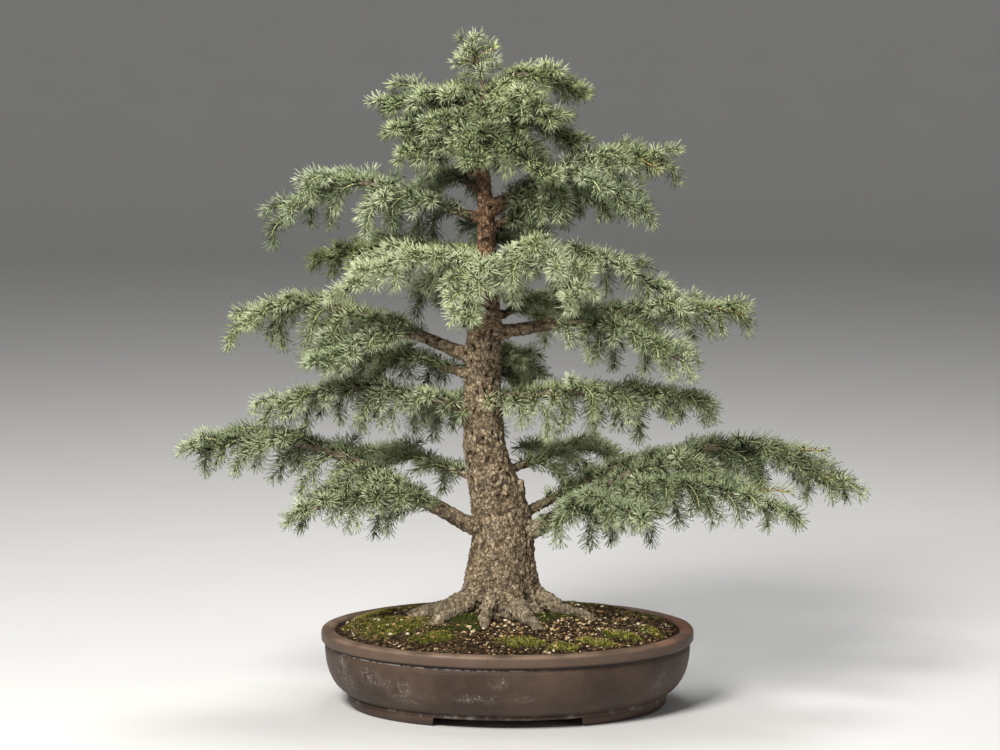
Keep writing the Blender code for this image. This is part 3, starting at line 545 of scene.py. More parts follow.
def moss_finish():
    finish = Finish("moss")
    mottle = finish.noise(240)
    colour = finish.ramp(
        finish.attribute("hue"),
        (0.0, (0.014, 0.020, 0.005)),
        (0.30, (0.062, 0.080, 0.014)),
        (0.55, (0.215, 0.208, 0.032)),
        (0.80, (0.430, 0.395, 0.075)),
        (1.0, (0.640, 0.570, 0.200)))
    colour = finish.mix(mottle * 0.3, colour, (0.03, 0.04, 0.01))
    return finish.done(colour, 0.75 + mottle * 0.15, mottle, 0.0003, shine=0.15)


def litter_finish():
    finish = Finish("fallen needles")
    mottle = finish.noise(150)
    colour = finish.ramp(
        finish.attribute("hue") + (mottle - 0.5) * 0.2,
        (0.0, (0.05, 0.028, 0.015)),
        (0.5, (0.17, 0.10, 0.05)),
        (1.0, (0.38, 0.29, 0.17)))
    return finish.done(colour, 0.65 + mottle * 0.2, mottle, 0.0002)


def bark_finish():
    finish = Finish("cedar bark")
    crack, young, root, hollow, along = (finish.attribute(name) for name in BARK_LAYERS)
    height = finish.parts_of(finish.place)[2]
    bend = finish.vector("MULTIPLY", finish.noise(110, output="Color"), (2.4, 2.4, 2.4))
    bent = finish.vector("ADD", finish.stretched((185, 185, 118)), bend)
    flake_tone = finish.parts_of(finish.cells(bent, 1.0, output="Color"))[0]
    flake_edge = finish.between(finish.cells(bent, 1.0, "DISTANCE_TO_EDGE"), 0.01, 0.13)
    scaly = 1 - root * 0.75
    mottle = finish.noise((125, 125, 165), 5, 0.62)
    fine = finish.noise(430, 4, 0.7)
    cloud = finish.noise(28)
    wrinkle = finish.between(finish.node("ShaderNodeTexNoise", {"noise_dimensions": "1D"}, {
        "W": along * 0.24 + cloud * 3.5 + mottle * 2.6, "Scale": 1.0, "Detail": 2.0}), 0.36, 0.60)
    patchy = finish.between(mottle, 0.36, 0.64)
    rise = finish.between(height + (cloud - 0.5) * 0.12, 0.38, 0.62)

    def patched(dark, light):
        return finish.mix(patchy, dark, light)

    bark = finish.painted(
        patched((0.150, 0.108, 0.066), (0.430, 0.335, 0.220)),
        (rise, patched((0.105, 0.058, 0.036), (0.330, 0.195, 0.120))),
        (young * 0.7, patched((0.085, 0.060, 0.042), (0.340, 0.255, 0.175))),
        (finish.between(flake_tone, 0.50, 1.0) * 0.42 * scaly,
         finish.mix(rise, (0.60, 0.49, 0.35), (0.46, 0.30, 0.195))),
        (finish.below(flake_tone, 0.0, 0.30) * 0.30 * scaly, (0.085, 0.060, 0.040)),
        (finish.below(height, 0.105, 0.165) * 0.68,
         patched((0.210, 0.172, 0.125), (0.620, 0.530, 0.395))),
        (finish.patches(0.54, 0.72, 60) * 0.35, (0.30, 0.285, 0.24)),
        (finish.between(fine, 0.54, 0.74) * 0.5, (0.060, 0.042, 0.030)),
        (finish.patches(0.50, 0.68, 34, 4) * finish.below(height, 0.10, 0.14) * 0.4,
         (0.055, 0.068, 0.022)),
        # Painted shade, with dirt and moss, in the hollows; lighter on the raised places.
        (finish.between(hollow, 0.25, 1.6) * 0.75, (0.050, 0.038, 0.024)),
        (finish.below(hollow, -1.6, -0.3) * 0.35, (0.62, 0.53, 0.40)),
        # Painted shade in the cracks between the flakes, with the bark's darker colour there.
        ((1 - flake_edge) * 0.50 * scaly, (0.045, 0.031, 0.021)),
        ((1 - wrinkle) * root * 0.46, (0.090, 0.068, 0.046)))
    # The crack layer's painted shade in the cracks, pits and grooves, with the bark's darker colour.
    return finish.done(
        finish.mix(finish.between(crack, 0.02, 0.60), (0.026, 0.018, 0.012), bark), 0.74 + fine * 0.2,
        (flake_tone * 0.7 + flake_edge) * scaly + fine * 0.9 + mottle * 0.9 + wrinkle * root * 2.0,
        0.0015, shine=0.12)


def young_bark_finish():
    finish = Finish("young bark")
    ridges = finish.noise((500, 500, 500), 4)
    colour = finish.mix(finish.noise(40), (0.060, 0.046, 0.031), (0.20, 0.155, 0.108))
    colour = finish.mix(finish.between(ridges, 0.5, 0.7) * 0.5, colour, (0.035, 0.022, 0.015))
    return finish.done(colour, 0.68 + ridges * 0.2, ridges, 0.0006)


def shoot_finish(name, browner, middle, greener):
    finish = Finish(name)
    ridges = finish.noise(600)
    colour = finish.ramp(finish.noise(35), (0.30, browner), (0.50, middle), (0.70, greener))
    return finish.done(colour, 0.5 + ridges * 0.2, ridges, 0.0002)


def needle_finish():
    finish = Finish("cedar needles")
    blue = finish.attribute("blue")
    wax = finish.noise(90, 2)
    shade = finish.attribute("tone") + (wax - 0.5) * 0.3
    colour = finish.painted(
        finish.mix(blue, (0.018, 0.026, 0.007), (0.014, 0.022, 0.011)),
        (finish.between(shade, 0.0, 0.55),
         finish.mix(blue, (0.265, 0.310, 0.100), (0.215, 0.270, 0.155))),
        (finish.between(shade, 0.45, 1.05),
         finish.mix(blue, (0.60, 0.65, 0.36), (0.54, 0.615, 0.47))))
    return finish.done(colour, 0.42 + wax * 0.2, shine=0.28)


# Meshes and objects

def added(name, data):
    """A new object in the scene."""
    thing = bpy.data.objects.new(name, data)
    bpy.context.scene.collection.objects.link(thing)
    return thing


def as_mesh(name, bm):
    mesh = bpy.data.meshes.new(name)
    bm.to_mesh(mesh)
    bm.free()
    return mesh


def take_in(bm, mesh):
    """Add a mesh to a bmesh. The mesh itself is used up."""
    bm.from_mesh(mesh)
    bpy.data.meshes.remove(mesh)


def joined(shapes):
    """Several closed shapes in one bmesh, with their normals outward."""
    whole = bmesh.new()
    for shape in shapes:
        take_in(whole, as_mesh("shape", shape))
    bmesh.ops.recalc_face_normals(whole, faces=whole.faces)
    return whole


def smoothed(bm, passes):
    for _ in range(passes):
        bmesh.ops.smooth_vert(bm, verts=bm.verts, factor=0.5, use_axis_x=True, use_axis_y=True,
                              use_axis_z=True)


def taken_mesh(helper):
    """The mesh of a helper object with its modifiers applied. The helper is removed."""
    graph = bpy.context.evaluated_depsgraph_get()
    mesh = bpy.data.meshes.new_from_object(helper.evaluated_get(graph))
    bpy.data.objects.remove(helper)
    return mesh


def as_piece(name, bm, finishes, recalculate=True):
    """Turn a bmesh in millimetres about the pot into a finished piece in the frame."""
    if recalculate:
        bmesh.ops.recalc_face_normals(bm, faces=bm.faces)
    bmesh.ops.scale(bm, vec=(MM, MM, MM), verts=bm.verts)
    bmesh.ops.translate(bm, vec=HOME, verts=bm.verts)
    for face in bm.faces:
        face.smooth = True
    return mesh_piece(name, as_mesh(name, bm), finishes)


def mesh_piece(name, mesh, finishes):
    for finish in finishes:
        mesh.materials.append(finish)
    piece = added(name, mesh)
    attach(piece, "root")
    return piece


def template(make):
    """Corners and triangles of a small shape that is set down many times."""
    bm = bmesh.new()
    make(bm)
    bmesh.ops.recalc_face_normals(bm, faces=bm.faces)
    bmesh.ops.triangulate(bm, faces=bm.faces)
    bm.verts.index_update()
    corners = np.array([vert.co for vert in bm.verts])
    triangles = np.array([[vert.index for vert in face.verts] for face in bm.faces])
    bm.free()
    return corners, triangles


def copies(name, shape, places, axes, attributes, finish):
    """One piece of many copies of a shape. Each copy has its place in millimetres and
    three axes, whose lengths are its sizes. Each attribute gives a value for every
    corner of every copy."""
    corners, triangles = shape
    points = np.array(places)[:, None, :] + np.einsum("ci,nij->ncj", corners, np.array(axes))
    points = points.reshape(-1, 3) * MM + HOME
    faces = (triangles[None] + (np.arange(len(places)) * len(corners))[:, None, None]).reshape(-1)
    mesh = bpy.data.meshes.new(name)
    mesh.vertices.add(len(points))
    mesh.vertices.foreach_set("co", points.astype(np.float32).ravel())
    mesh.loops.add(len(faces))
    mesh.loops.foreach_set("vertex_index", faces.astype(np.int32))
    mesh.polygons.add(len(faces) // 3)
    mesh.polygons.foreach_set("loop_start", np.arange(0, len(faces), 3, dtype=np.int32))
    mesh.update()
    for key, values in attributes.items():
        layer = mesh.attributes.new(key, "FLOAT", "POINT")
        layer.data.foreach_set("value", np.asarray(values, np.float32).ravel())
    return mesh_piece(name, mesh, [finish])


# Directions and lines

def limited(value, low=0.0, high=1.0):
    return min(high, max(low, value))


def unit(vector):
    return vector / np.linalg.norm(vector)


def units(vectors):
    return vectors / np.linalg.norm(vectors, axis=-1, keepdims=True)


def compass(azimuth):
    angle = math.radians(azimuth)
    return np.array((math.cos(angle), math.sin(angle), 0.0))


def turned(vector, degrees):
    """The level part of a vector turned about the upright axis."""
    c, s = math.cos(math.radians(degrees)), math.sin(math.radians(degrees))
    return np.array((vector[0] * c - vector[1] * s, vector[0] * s + vector[1] * c, 0.0))


def crosswise(ways, steepest):
    """Two directions square to each way and to each other."""
    helper = np.where(np.abs(ways[:, 2:3]) < steepest, UP[None], np.array([[1.0, 0.0, 0.0]]))
    side = units(np.cross(ways, helper))
    return side, np.cross(ways, side)


def leaning(ways, side, other, turn, lean):
    """Directions that lean away from their ways, to the sides given by their turns."""
    out = side * np.cos(turn)[:, None] + other * np.sin(turn)[:, None]
    return ways * np.cos(lean)[:, None] + out * np.sin(lean)[:, None]


def at_share(line, share):
    """Point and direction at a share of the way along a line."""
    place = limited(share) * (len(line) - 1)
    step = min(int(place), len(line) - 2)
    way = line[step + 1] - line[step]
    return line[step] + way * (place - step), unit(way)


def at_shares(line, shares):
    """Points and directions at several shares of the way along a line."""
    place = np.clip(shares, 0.0, 1.0) * (len(line) - 1)
    step = np.minimum(place.astype(int), len(line) - 2)
    ways = np.diff(line, axis=0)[step]
    return line[step] + ways * (place - step)[:, None], units(ways)


def line_length(line):
    return float(np.linalg.norm(np.diff(line, axis=0), axis=1).sum())


# Stems

def station_matrices(points, radii):
    """A frame at each point of a line, carried along it without turning about it."""
    steps = units(np.diff(points, axis=0))
    ways = [steps[0], *(unit(before + after) for before, after in zip(steps, steps[1:])), steps[-1]]
    side = unit(np.cross(ways[0], UP if abs(ways[0][2]) < 0.9 else (1.0, 0.0, 0.0)))
    matrices = []
    for point, way, radius in zip(points, ways, radii):
        side = unit(side - way * side.dot(way))
        other = np.cross(way, side)
        matrix = Matrix.Identity(4)
        for row in range(3):
            matrix[row] = (side[row] * radius, other[row] * radius, way[row] * radius, point[row])
        matrices.append(matrix)
    return matrices


def stem(points, radii, sides):
    """A closed stem extruded from end to end."""
    bm = bmesh.new()
    bmesh.ops.create_circle(bm, cap_ends=True, segments=sides, radius=1.0)
    end = bm.faces[:][0]
    matrices = station_matrices(np.asarray(points, float), radii)
    bmesh.ops.transform(bm, matrix=matrices[0], verts=bm.verts)
    for number, (before, after) in enumerate(zip(matrices, matrices[1:])):
        grown = bmesh.ops.extrude_face_region(bm, geom=[end])["geom"]
        if number:
            bmesh.ops.delete(bm, geom=[end], context="FACES_ONLY")
        end = next(item for item in grown if isinstance(item, bmesh.types.BMFace))
        bmesh.ops.transform(bm, matrix=after @ before.inverted(), verts=end.verts)
    bmesh.ops.recalc_face_normals(bm, faces=bm.faces)
    return bm


def new_curve(name):
    curve = bpy.data.curves.new(name, "CURVE")
    curve.dimensions = "3D"
    return curve


def tubes(name, lines, sides):
    """One mesh of many thin stems, each given as its points and radii."""
    outline = new_curve("stem outline")
    ring = outline.splines.new("POLY")
    ring.points.add(sides - 1)
    for index, point in enumerate(ring.points):
        angle = index * math.tau / sides
        point.co = (math.cos(angle), math.sin(angle), 0.0, 1.0)
    ring.use_cyclic_u = True
    curve = new_curve(name)
    curve.bevel_mode = "OBJECT"
    curve.bevel_object = added("stem outline", outline)
    curve.use_fill_caps = True
    for points, radii in lines:
        spline = curve.splines.new("POLY")
        spline.points.add(len(points) - 1)
        spline.points.foreach_set("co", np.column_stack((points, np.ones(len(points)))).ravel())
        spline.points.foreach_set("radius", np.asarray(radii, float))
    mesh = taken_mesh(added(name, curve))
    bpy.data.objects.remove(curve.bevel_object)
    return mesh


def tapered(line, radii):
    """A line for tubes, with a radius for each point."""
    return line, np.linspace(*radii, len(line))


# Lines of growth

def trunk_point(height):
    """Middle and radius of the trunk at a height."""
    rows = np.array(TRUNK, float)
    x, y, radius = (np.interp(height, rows[:, 0], rows[:, column]) for column in (1, 2, 3))
    return np.array((x, y, height)), float(radius)


def limb_line(limb, number, lines):
    """The middle line of a limb: it rises to its crest and then sinks to its tip."""
    if not limb.reach:
        heights = np.linspace(limb.start, TRUNK[-1][0], LIMB_STEPS + 1)
        return np.array([trunk_point(height)[0] for height in heights])
    if limb.source == "trunk":
        start = trunk_point(limb.start)[0]
    else:
        start = at_share(lines[limb.source], limb.start)[0]
    draw = random.Random(number)
    swings = [draw.uniform(-1.0, 1.0) for _ in range(2)]
    out = compass(limb.azimuth)
    side = np.cross(UP, out)
    points = []
    for step in range(LIMB_STEPS + 1):
        share = step / LIMB_STEPS
        if share < limb.crest_at:
            rise = limb.crest * math.sin(share / limb.crest_at * math.pi / 2) ** CREST_POWER
        else:
            past = (share - limb.crest_at) / (1.0 - limb.crest_at)
            rise = limb.crest + (limb.tip - limb.crest) * (1.0 - math.cos(past * math.pi / 2))
        sway = swings[0] * math.sin(math.pi * share) + swings[1] * math.sin(2 * math.pi * share)
        points.append(start + out * limb.reach * share + side * limb.reach * SWAY * sway + UP * rise)
    return np.array(points)


def limb_radius(limb, share):
    return LIMB_TIP_RADIUS + (limb.radius - LIMB_TIP_RADIUS) * (1.0 - share) ** LIMB_TAPER


def arched(root, heading, pitch, droop, length, steps=TWIG_STEPS, curl=0.0):
    """A line that leaves its root at a pitch and bends down by its droop."""
    side = np.cross(UP, heading)
    points = [root]
    for step in range(steps):
        share = (step + 0.5) / steps
        fall = math.radians(pitch - droop * share ** 1.3)
        ahead = heading * math.cos(curl * share) + side * math.sin(curl * share)
        points.append(points[-1] + (ahead * math.cos(fall) + UP * math.sin(fall)) * length / steps)
    return np.array(points)


def hand(index):
    """Left and right by turns."""
    return 1 if index % 2 else -1


def twig_count(limb):
    return limb.twigs * TWIGS_PER_STEM if limb.reach else LEADER_TWIGS


def twig_line(limb, number, line, index):
    """The middle line of one side twig, which leaves the limb and arches down."""
    draw = random.Random(number * 100 + index)
    along = (index + 0.5) / twig_count(limb)
    root, way = at_share(line, limb.bare + along * (1.0 - limb.bare))
    yaw = hand(index) * draw.uniform(*TWIG_YAW) * (1.0 - 0.35 * along)
    fullness = (0.72 + 0.28 * math.sin(math.pi * min(1.0, along * 1.3))) * (1.0 - 0.35 * along ** 3)
    length = limb.side * fullness * draw.uniform(*TWIG_VARIES)
    pitch = TWIG_PITCHES[index % len(TWIG_PITCHES)] + draw.uniform(-8, 8)
    droop = limb.droop * draw.uniform(0.8, 1.25)
    curl = draw.uniform(-TWIG_CURL, TWIG_CURL)
    if limb.reach:
        heading = unit(turned(way, yaw))
    else:
        heading = compass(LEADER_TURN * index)
        length = limb.side * (1.05 - 0.55 * along)
        pitch = 26 + 24 * along
    return arched(root, heading, pitch, droop, length, curl=curl)


def kept_inside(line):
    """A shoot, made shorter where its end would stand out of the plain model's box."""
    spare = (BOX_HIGH - BOX_LOW) * STAND_OUT - NEEDLE_LENGTH[0]
    while ((line[-1] > BOX_HIGH + spare) | (line[-1] < BOX_LOW - spare)).any():
        line = line[0] + (line - line[0]) * 0.92
    return line


def branchlet_lines(twig, draw):
    """The short shoots that leave a twig by turns to its left and right."""
    length = line_length(twig)
    count = max(2, int(length / BRANCHLET_SPACING))
    lines = []
    for index in range(count):
        along = (index + 0.6) / (count + 0.4)
        root, way = at_share(twig, along * 0.92)
        level = turned(way, hand(index) * draw.uniform(*BRANCHLET_YAW))
        if np.linalg.norm(level) < 0.05:
            continue
        pitch = math.degrees(math.asin(limited(way[2], -1.0))) + draw.uniform(-5, 22)
        size = length * draw.uniform(*BRANCHLET_SIZE) * (1.0 - 0.3 * along)
        shoot = arched(root, unit(level), pitch, draw.uniform(20, 50), size, BRANCHLET_STEPS)
        lines.append(kept_inside(shoot))
    return lines


def inner_twigs(line, first, draw):
    """Short twigs on the stretch of a limb next to the trunk, by turns on its sides."""
    twigs = []
    for index in range(INNER_TWIGS):
        root, way = at_share(line, first * (index + 0.6) / INNER_TWIGS)
        heading = unit(turned(way, hand(index) * draw.uniform(40, 75)))
        length = draw.uniform(*INNER_TWIG_LENGTH)
        twigs.append(arched(root, heading, draw.uniform(5, 30), draw.uniform(50, 85), length))
    return twigs


# Pot

def from_wall(*points):
    """Points of an outline, given as insets from the pot's half width and heights."""
    return [(POT_HALF_WIDTH - inset, height) for inset, height in points]


def turned_shape(profile, steps=POT_STEPS):
    """Spin an outline of (radius, height) points about the upright axis."""
    bm = bmesh.new()
    corners = [bm.verts.new((radius, 0.0, height)) for radius, height in profile]
    edges = [bm.edges.new(pair) for pair in zip(corners, corners[1:])]
    bmesh.ops.spin(bm, geom=corners + edges, axis=(0, 0, 1), cent=(0, 0, 0), angle=math.tau,
                   steps=steps, use_merge=True)
    bmesh.ops.remove_doubles(bm, verts=bm.verts, dist=0.01)
    return bm


def oval(profile):
    """Spin an outline and press it into the pot's oval, with a wall of one thickness."""
    bm = turned_shape(profile)
    for vert in bm.verts:
        radius = math.hypot(vert.co.x, vert.co.y)
        vert.co.y *= 1.0 - (POT_HALF_WIDTH - POT_HALF_DEPTH) / max(radius, ROUND_CORE)
    return bm


def make_foot(side):
    """The foot under one end of the pot, with its two cut ends rounded off."""
    bm = oval(from_wall(*FOOT))
    slant = math.hypot(FOOT_END_SLANT, FLOOR_UNDER)
    normal = (-side * FLOOR_UNDER / slant, 0.0, -FOOT_END_SLANT / slant)
    everything = bm.verts[:] + bm.edges[:] + bm.faces[:]
    bmesh.ops.bisect_plane(bm, geom=everything, plane_co=(side * FOOT_GAP_HALF, 0.0, 0.0),
                           plane_no=normal, clear_outer=True)
    open_edges = [edge for edge in bm.edges if edge.is_boundary]
    bmesh.ops.holes_fill(bm, edges=open_edges)
    ends = [edge for edge in open_edges if edge.is_valid and edge.calc_face_angle(0.0) > 0.6]
    bmesh.ops.bevel(bm, geom=ends, offset=FOOT_END_ROUND, offset_type="OFFSET", affect="EDGES",
                    segments=3, profile=0.5, material=-1, clamp_overlap=True)
    return bm


def make_pot(clay):
    bowl = oval([(0, FLOOR_UNDER), *from_wall(*BOWL), (0, FLOOR_TOP)])
    bm = joined([bowl, make_foot(1), make_foot(-1)])
    for vert in bm.verts:
        if vert.co.z > 0.5:
            wave = noise.noise(vert.co * 0.02) * CLAY_WAVE
            vert.co += vert.normal * wave * min(1.0, vert.co.z / 20)
    piece = as_piece("stoneware_pot", bm, [clay])
    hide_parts("pot")


# Soil

def soil_edge(x, y):
    """0 in the middle of the soil and 1 at the pot's wall."""
    return math.hypot(x / SOIL_HALF_WIDTH, y / SOIL_HALF_DEPTH)


def soil_height(x, y):
    """Height of the soil's mound, with shallow hollows."""
    edge = min(1.0, soil_edge(x, y))
    rise = SOIL_RISE * (1.0 - edge * edge) ** SOIL_POWER
    ripple = math.sin(x / SOIL_RIPPLE_WIDE) * math.cos(y / SOIL_RIPPLE_DEEP) * (1.0 - edge ** 4)
    return SOIL_EDGE_Z + rise + SOIL_RIPPLE * ripple


def moss_at(x, y):
    """How thickly the moss grows at a place, and its hue there."""
    ragged = noise.noise((x * 0.07, y * 0.07, 3.0)) * 0.5 + noise.noise((x * 0.2, y * 0.2, 9.0)) * 0.35
    best, hue = 0.0, 0.3
    for middle_x, middle_y, wide, deep, patch_hue, thick in MOSS:
        away = math.hypot((x - middle_x) / wide, (y - middle_y) / deep)
        cover = limited((1.25 - away + ragged) * 1.8) * thick
        if cover > best:
            best, hue = cover, patch_hue
    return best, hue


def ground(x, y):
    """Height of the finished soil, with its crumbs and its cushions of moss."""
    crumbs = (noise.noise((x * 0.35, y * 0.35, 1.0)) * CRUMB_HEIGHT
              + noise.noise((x * 0.09, y * 0.09, 5.0)) * LUMP_HEIGHT)
    inward = max(0.0, 1.0 - soil_edge(x, y) ** 6)
    return soil_height(x, y) + (crumbs + moss_at(x, y)[0] * MOSS_HEIGHT) * inward


def make_soil(earth):
    reach = POT_HALF_WIDTH - SOIL_TOP_INSET
    rings = [(reach * ring / SOIL_RINGS, SOIL_EDGE_Z) for ring in range(SOIL_RINGS + 1)]
    bm = oval([*rings, *from_wall(*SOIL_SIDE), (0.0, FLOOR_TOP + SEAT)])
    moss = bm.verts.layers.float.new("moss")
    for vert in bm.verts:
        if vert.co.z > SOIL_EDGE_Z - SEAT:
            vert[moss] = moss_at(vert.co.x, vert.co.y)[0]
            vert.co.z = ground(vert.co.x, vert.co.y)
    piece = as_piece("soil_mound", bm, [earth])
    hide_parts("soil")


def soil_spot(draw):
    """A place on the soil beside the trunk, drawn evenly over it."""
    while True:
        x = draw.uniform(-1.0, 1.0) * (SOIL_HALF_WIDTH - 4)
        y = draw.uniform(-1.0, 1.0) * (SOIL_HALF_DEPTH - 4)
        if soil_edge(x, y) < 0.97 and math.hypot(x + 5, y) > TRUNK_FOOT:
            return x, y


def random_axes(draw, sizes):
    """Three square axes, turned at random and as long as the sizes."""
    about = Matrix.Rotation(draw.uniform(0, math.tau), 3, "Z")
    tilt = Matrix.Rotation(draw.uniform(-0.5, 0.5), 3, "X")
    return np.array((about @ tilt).transposed()) * np.array(sizes)[:, None]


def make_grains(finish):
    """Loose granules over the soil, pale and tan ones more often towards the front."""
    draw = random.Random(7)
    pebble = template(lambda bm: bmesh.ops.create_icosphere(bm, subdivisions=1, radius=1.0))
    places, axes, kinds = [], [], []
    while len(places) < GRAINS:
        x, y = soil_spot(draw)
        if draw.random() < min(0.85, moss_at(x, y)[0] * 0.62):
            continue
        size = draw.uniform(0.8, 1.5) if draw.random() < 0.74 else draw.uniform(1.5, 2.8)
        pale = 0.20 + 0.40 * math.exp(-((x - 45) / 75) ** 2 - ((y + 75) / 50) ** 2)
        kinds.append(draw.uniform(0.50, 1.0) if draw.random() < pale else draw.uniform(0.0, 0.48))
        places.append((x, y, ground(x, y) + size * 0.25))
        sizes = (size * draw.uniform(1.0, 1.8), size, size * draw.uniform(0.6, 0.9))
        axes.append(random_axes(draw, sizes))
    kinds = np.repeat(kinds, len(pebble[0]))
    copies("soil_granules", pebble, places, axes, {"kind": kinds}, finish)


def leaflet(bm):
    """A slim pointed blade along +Z, from a root at the origin."""
    bmesh.ops.create_cone(bm, cap_ends=True, segments=3, radius1=0.5, radius2=0.0, depth=1.0,
                          matrix=Matrix.Translation((0.0, 0.0, 0.5)))


def needle_blade(bm):
    """A slim blunt needle along +Z from a root at the origin: a tetrahedron stood on
    one edge, so that it stays about as wide up to its tip."""
    bmesh.ops.create_cone(
        bm, cap_ends=True, segments=3, radius1=1 / math.sqrt(3), radius2=0.0, depth=math.sqrt(2 / 3),
        matrix=Matrix.Rotation(math.atan(math.sqrt(2)), 4, "X"))
    low = min(bm.verts, key=lambda vert: vert.co.z).co.copy()
    bmesh.ops.translate(bm, vec=(0.0, -low.y, -low.z), verts=bm.verts)
    bmesh.ops.scale(bm, vec=(1.0, NEEDLE_TIP, math.sqrt(2)), verts=bm.verts)


def blade_axes(ways, widths, lengths, turns):
    """Axes for blades that point along their ways, each turned about its own length."""
    side, other = crosswise(ways, 0.9)
    c, s = np.cos(turns)[:, None], np.sin(turns)[:, None]
    side, other = side * c + other * s, other * c - side * s
    return np.stack((side * widths[:, None], other * widths[:, None], ways * lengths[:, None]), axis=1)


def make_leaflets(name, places, ways, seed, widths, lengths, hues, shades, finish):
    """One piece of leaflets, with their hues drawn where none are given. The shades are
    for root and tip."""
    blade = template(leaflet)
    draw = np.random.default_rng(seed)
    count = len(places)
    sizes = [draw.uniform(*span, count) for span in (widths, lengths, (0, math.tau))]
    axes = blade_axes(units(np.array(ways)), *sizes)
    hues = np.array(hues or draw.uniform(0, 1, count))
    values = hues[:, None] * np.where(blade[0][:, 2] > 0.5, shades[1], shades[0])[None]
    copies(name, blade, places, axes, {"hue": values}, finish)


def make_moss(finish):
    draw = random.Random(11)
    places, ways, hues = [], [], []
    while len(places) < MOSS_LEAVES:
        x, y = soil_spot(draw)
        cover, hue = moss_at(x, y)
        if draw.random() > cover:
            continue
        places.append((x, y, ground(x, y) - 0.4))
        ways.append((draw.gauss(0, 0.45), draw.gauss(0, 0.45), 1.0))
        patch = noise.noise((x * 0.15, y * 0.15, 2.0)) * 0.62
        hues.append(limited(hue + patch + draw.gauss(0, 0.17)))
    make_leaflets("moss_tufts", places, ways, 12, (0.7, 1.2), (1.8, 3.8), hues, (0.6, 1.15), finish)


def make_litter(finish):
    """Dead needles and bits of twig that have fallen on the soil."""
    draw = random.Random(21)
    places, ways = [], []
    for _ in range(LITTER):
        x, y = soil_spot(draw)
        places.append((x, y, ground(x, y) + 0.7))
        ways.append((*compass(draw.uniform(0, 360))[:2], draw.uniform(-0.12, 0.25)))
    make_leaflets("fallen_needles", places, ways, 22, (0.8, 1.5), (4.0, 12.0), None, (1.0, 1.0), finish)


# Wood

def root_near(angle):
    """1 in the direction of a surface root and down to 0 between two roots."""
    apart = [abs((angle - azimuth + 180) % 360 - 180) / (ROOT_SPREAD + thick)
             for azimuth, _, thick in ROOTS]
    return math.exp(-min(apart) ** 2 * 2)


def trunk_stem():
    """The trunk, its foot drawn out in flutes between the roots."""
    low = TRUNK[0][0]
    stations = [trunk_point(height) for height in np.arange(low, WOOD_TOP + 1.0, TRUNK_STEP)]
    bm = stem(*zip(*stations), TRUNK_SIDES)
    for vert in bm.verts:
        middle, _ = trunk_point(limited(vert.co.z, low, WOOD_TOP))
        offset = np.array(vert.co) - middle
        angle = math.atan2(offset[1], offset[0])
        fade = max(0.0, 1.0 - (vert.co.z - low) / (FLUTE_TOP - low))
        swell = 1.0 + FLUTE_DEPTH * fade * math.cos(FLUTES * angle + FLUTE_TURN)
        swell += LUMP_DEPTH * math.sin(LUMPS * angle + vert.co.z * LUMP_TURN_PER_MM)
        low_down = limited((VALLEY_TOP - vert.co.z) / VALLEY_FADE)
        swell -= VALLEY_DEPTH * low_down * (1.0 - root_near(math.degrees(angle)))
        vert.co.x = middle[0] + offset[0] * swell
        vert.co.y = middle[1] + offset[1] * swell
    return bm


def root_stem(azimuth, reach, thick):
    """One surface root: down the trunk's foot, along the soil and into it."""
    middle = trunk_point(ROOT_FROM_Z)[0]
    out = compass(azimuth)
    draw = random.Random(azimuth)
    swings = [draw.uniform(0.6, 1.0) for _ in range(3)]
    points, radii = [], []
    for step in range(ROOT_STEPS + 1):
        share = step / ROOT_STEPS
        swing = ROOT_SWING * math.sin(share * math.pi * 1.5 + azimuth) * share
        ahead = ROOT_START + (reach - ROOT_START) * share
        place = middle + out * ahead + np.cross(UP, out) * swing
        level = soil_height(place[0], place[1])
        above = (ROOT_FROM_Z - level) * max(0.0, 1.0 - share * ROOT_SLOPE) ** ROOT_SLOPE_POWER
        girth = thick * (ROOT_GIRTH - ROOT_TAPER * share)
        knobs = 0.15 * math.sin(share * 15 * swings[0] + azimuth)
        knobs = 1.0 + knobs + 0.10 * math.sin(share * 60 * swings[1])
        place[2] = level + above + girth * ROOT_SHOWS - ROOT_DIVE * share ** 9
        points.append(place)
        radii.append(girth * knobs)
    return stem(points, radii, ROOT_SIDES)


def cut_stem(height, azimuth, radius, out):
    """The stub or scar of a branch that was cut off, with a healed lip round it."""
    middle, trunk_radius = trunk_point(height)
    end = trunk_radius + out
    stations = ((trunk_radius * 0.4, 1.1), (end - 3.5, 1.0), (end - 1.0, 0.95), (end, 0.7),
                (end - 1.4, 0.5))
    return stem([middle + compass(azimuth) * place for place, _ in stations],
                [radius * share for _, share in stations], CUT_SIDES)


def bare_limb(limb, line):
    """The leafless stretch of a limb and a little more, out of what carries it."""
    steps = max(4, int(limb.reach * limb.bare / 8))
    shares = np.linspace(0.0, min(1.0, limb.bare + 12 / limb.reach), steps)
    collar = [1.0 + 0.35 * math.exp(-share * limb.reach / 22) for share in shares]
    radii = [limb_radius(limb, share) * wide for share, wide in zip(shares, collar)]
    return stem(at_shares(line, shares)[0], radii, LIMB_SIDES)


def grown_together(stems):
    """Stems with one smooth skin on a fine grid."""
    helper = added("wood", as_mesh("wood", joined(stems)))
    grown = helper.modifiers.new("grown together", "REMESH")
    grown.mode = "VOXEL"
    grown.voxel_size = WOOD_VOXEL
    bm = bmesh.new()
    take_in(bm, taken_mesh(helper))
    smoothed(bm, WOOD_SMOOTHING)
    bm.normal_update()
    return bm


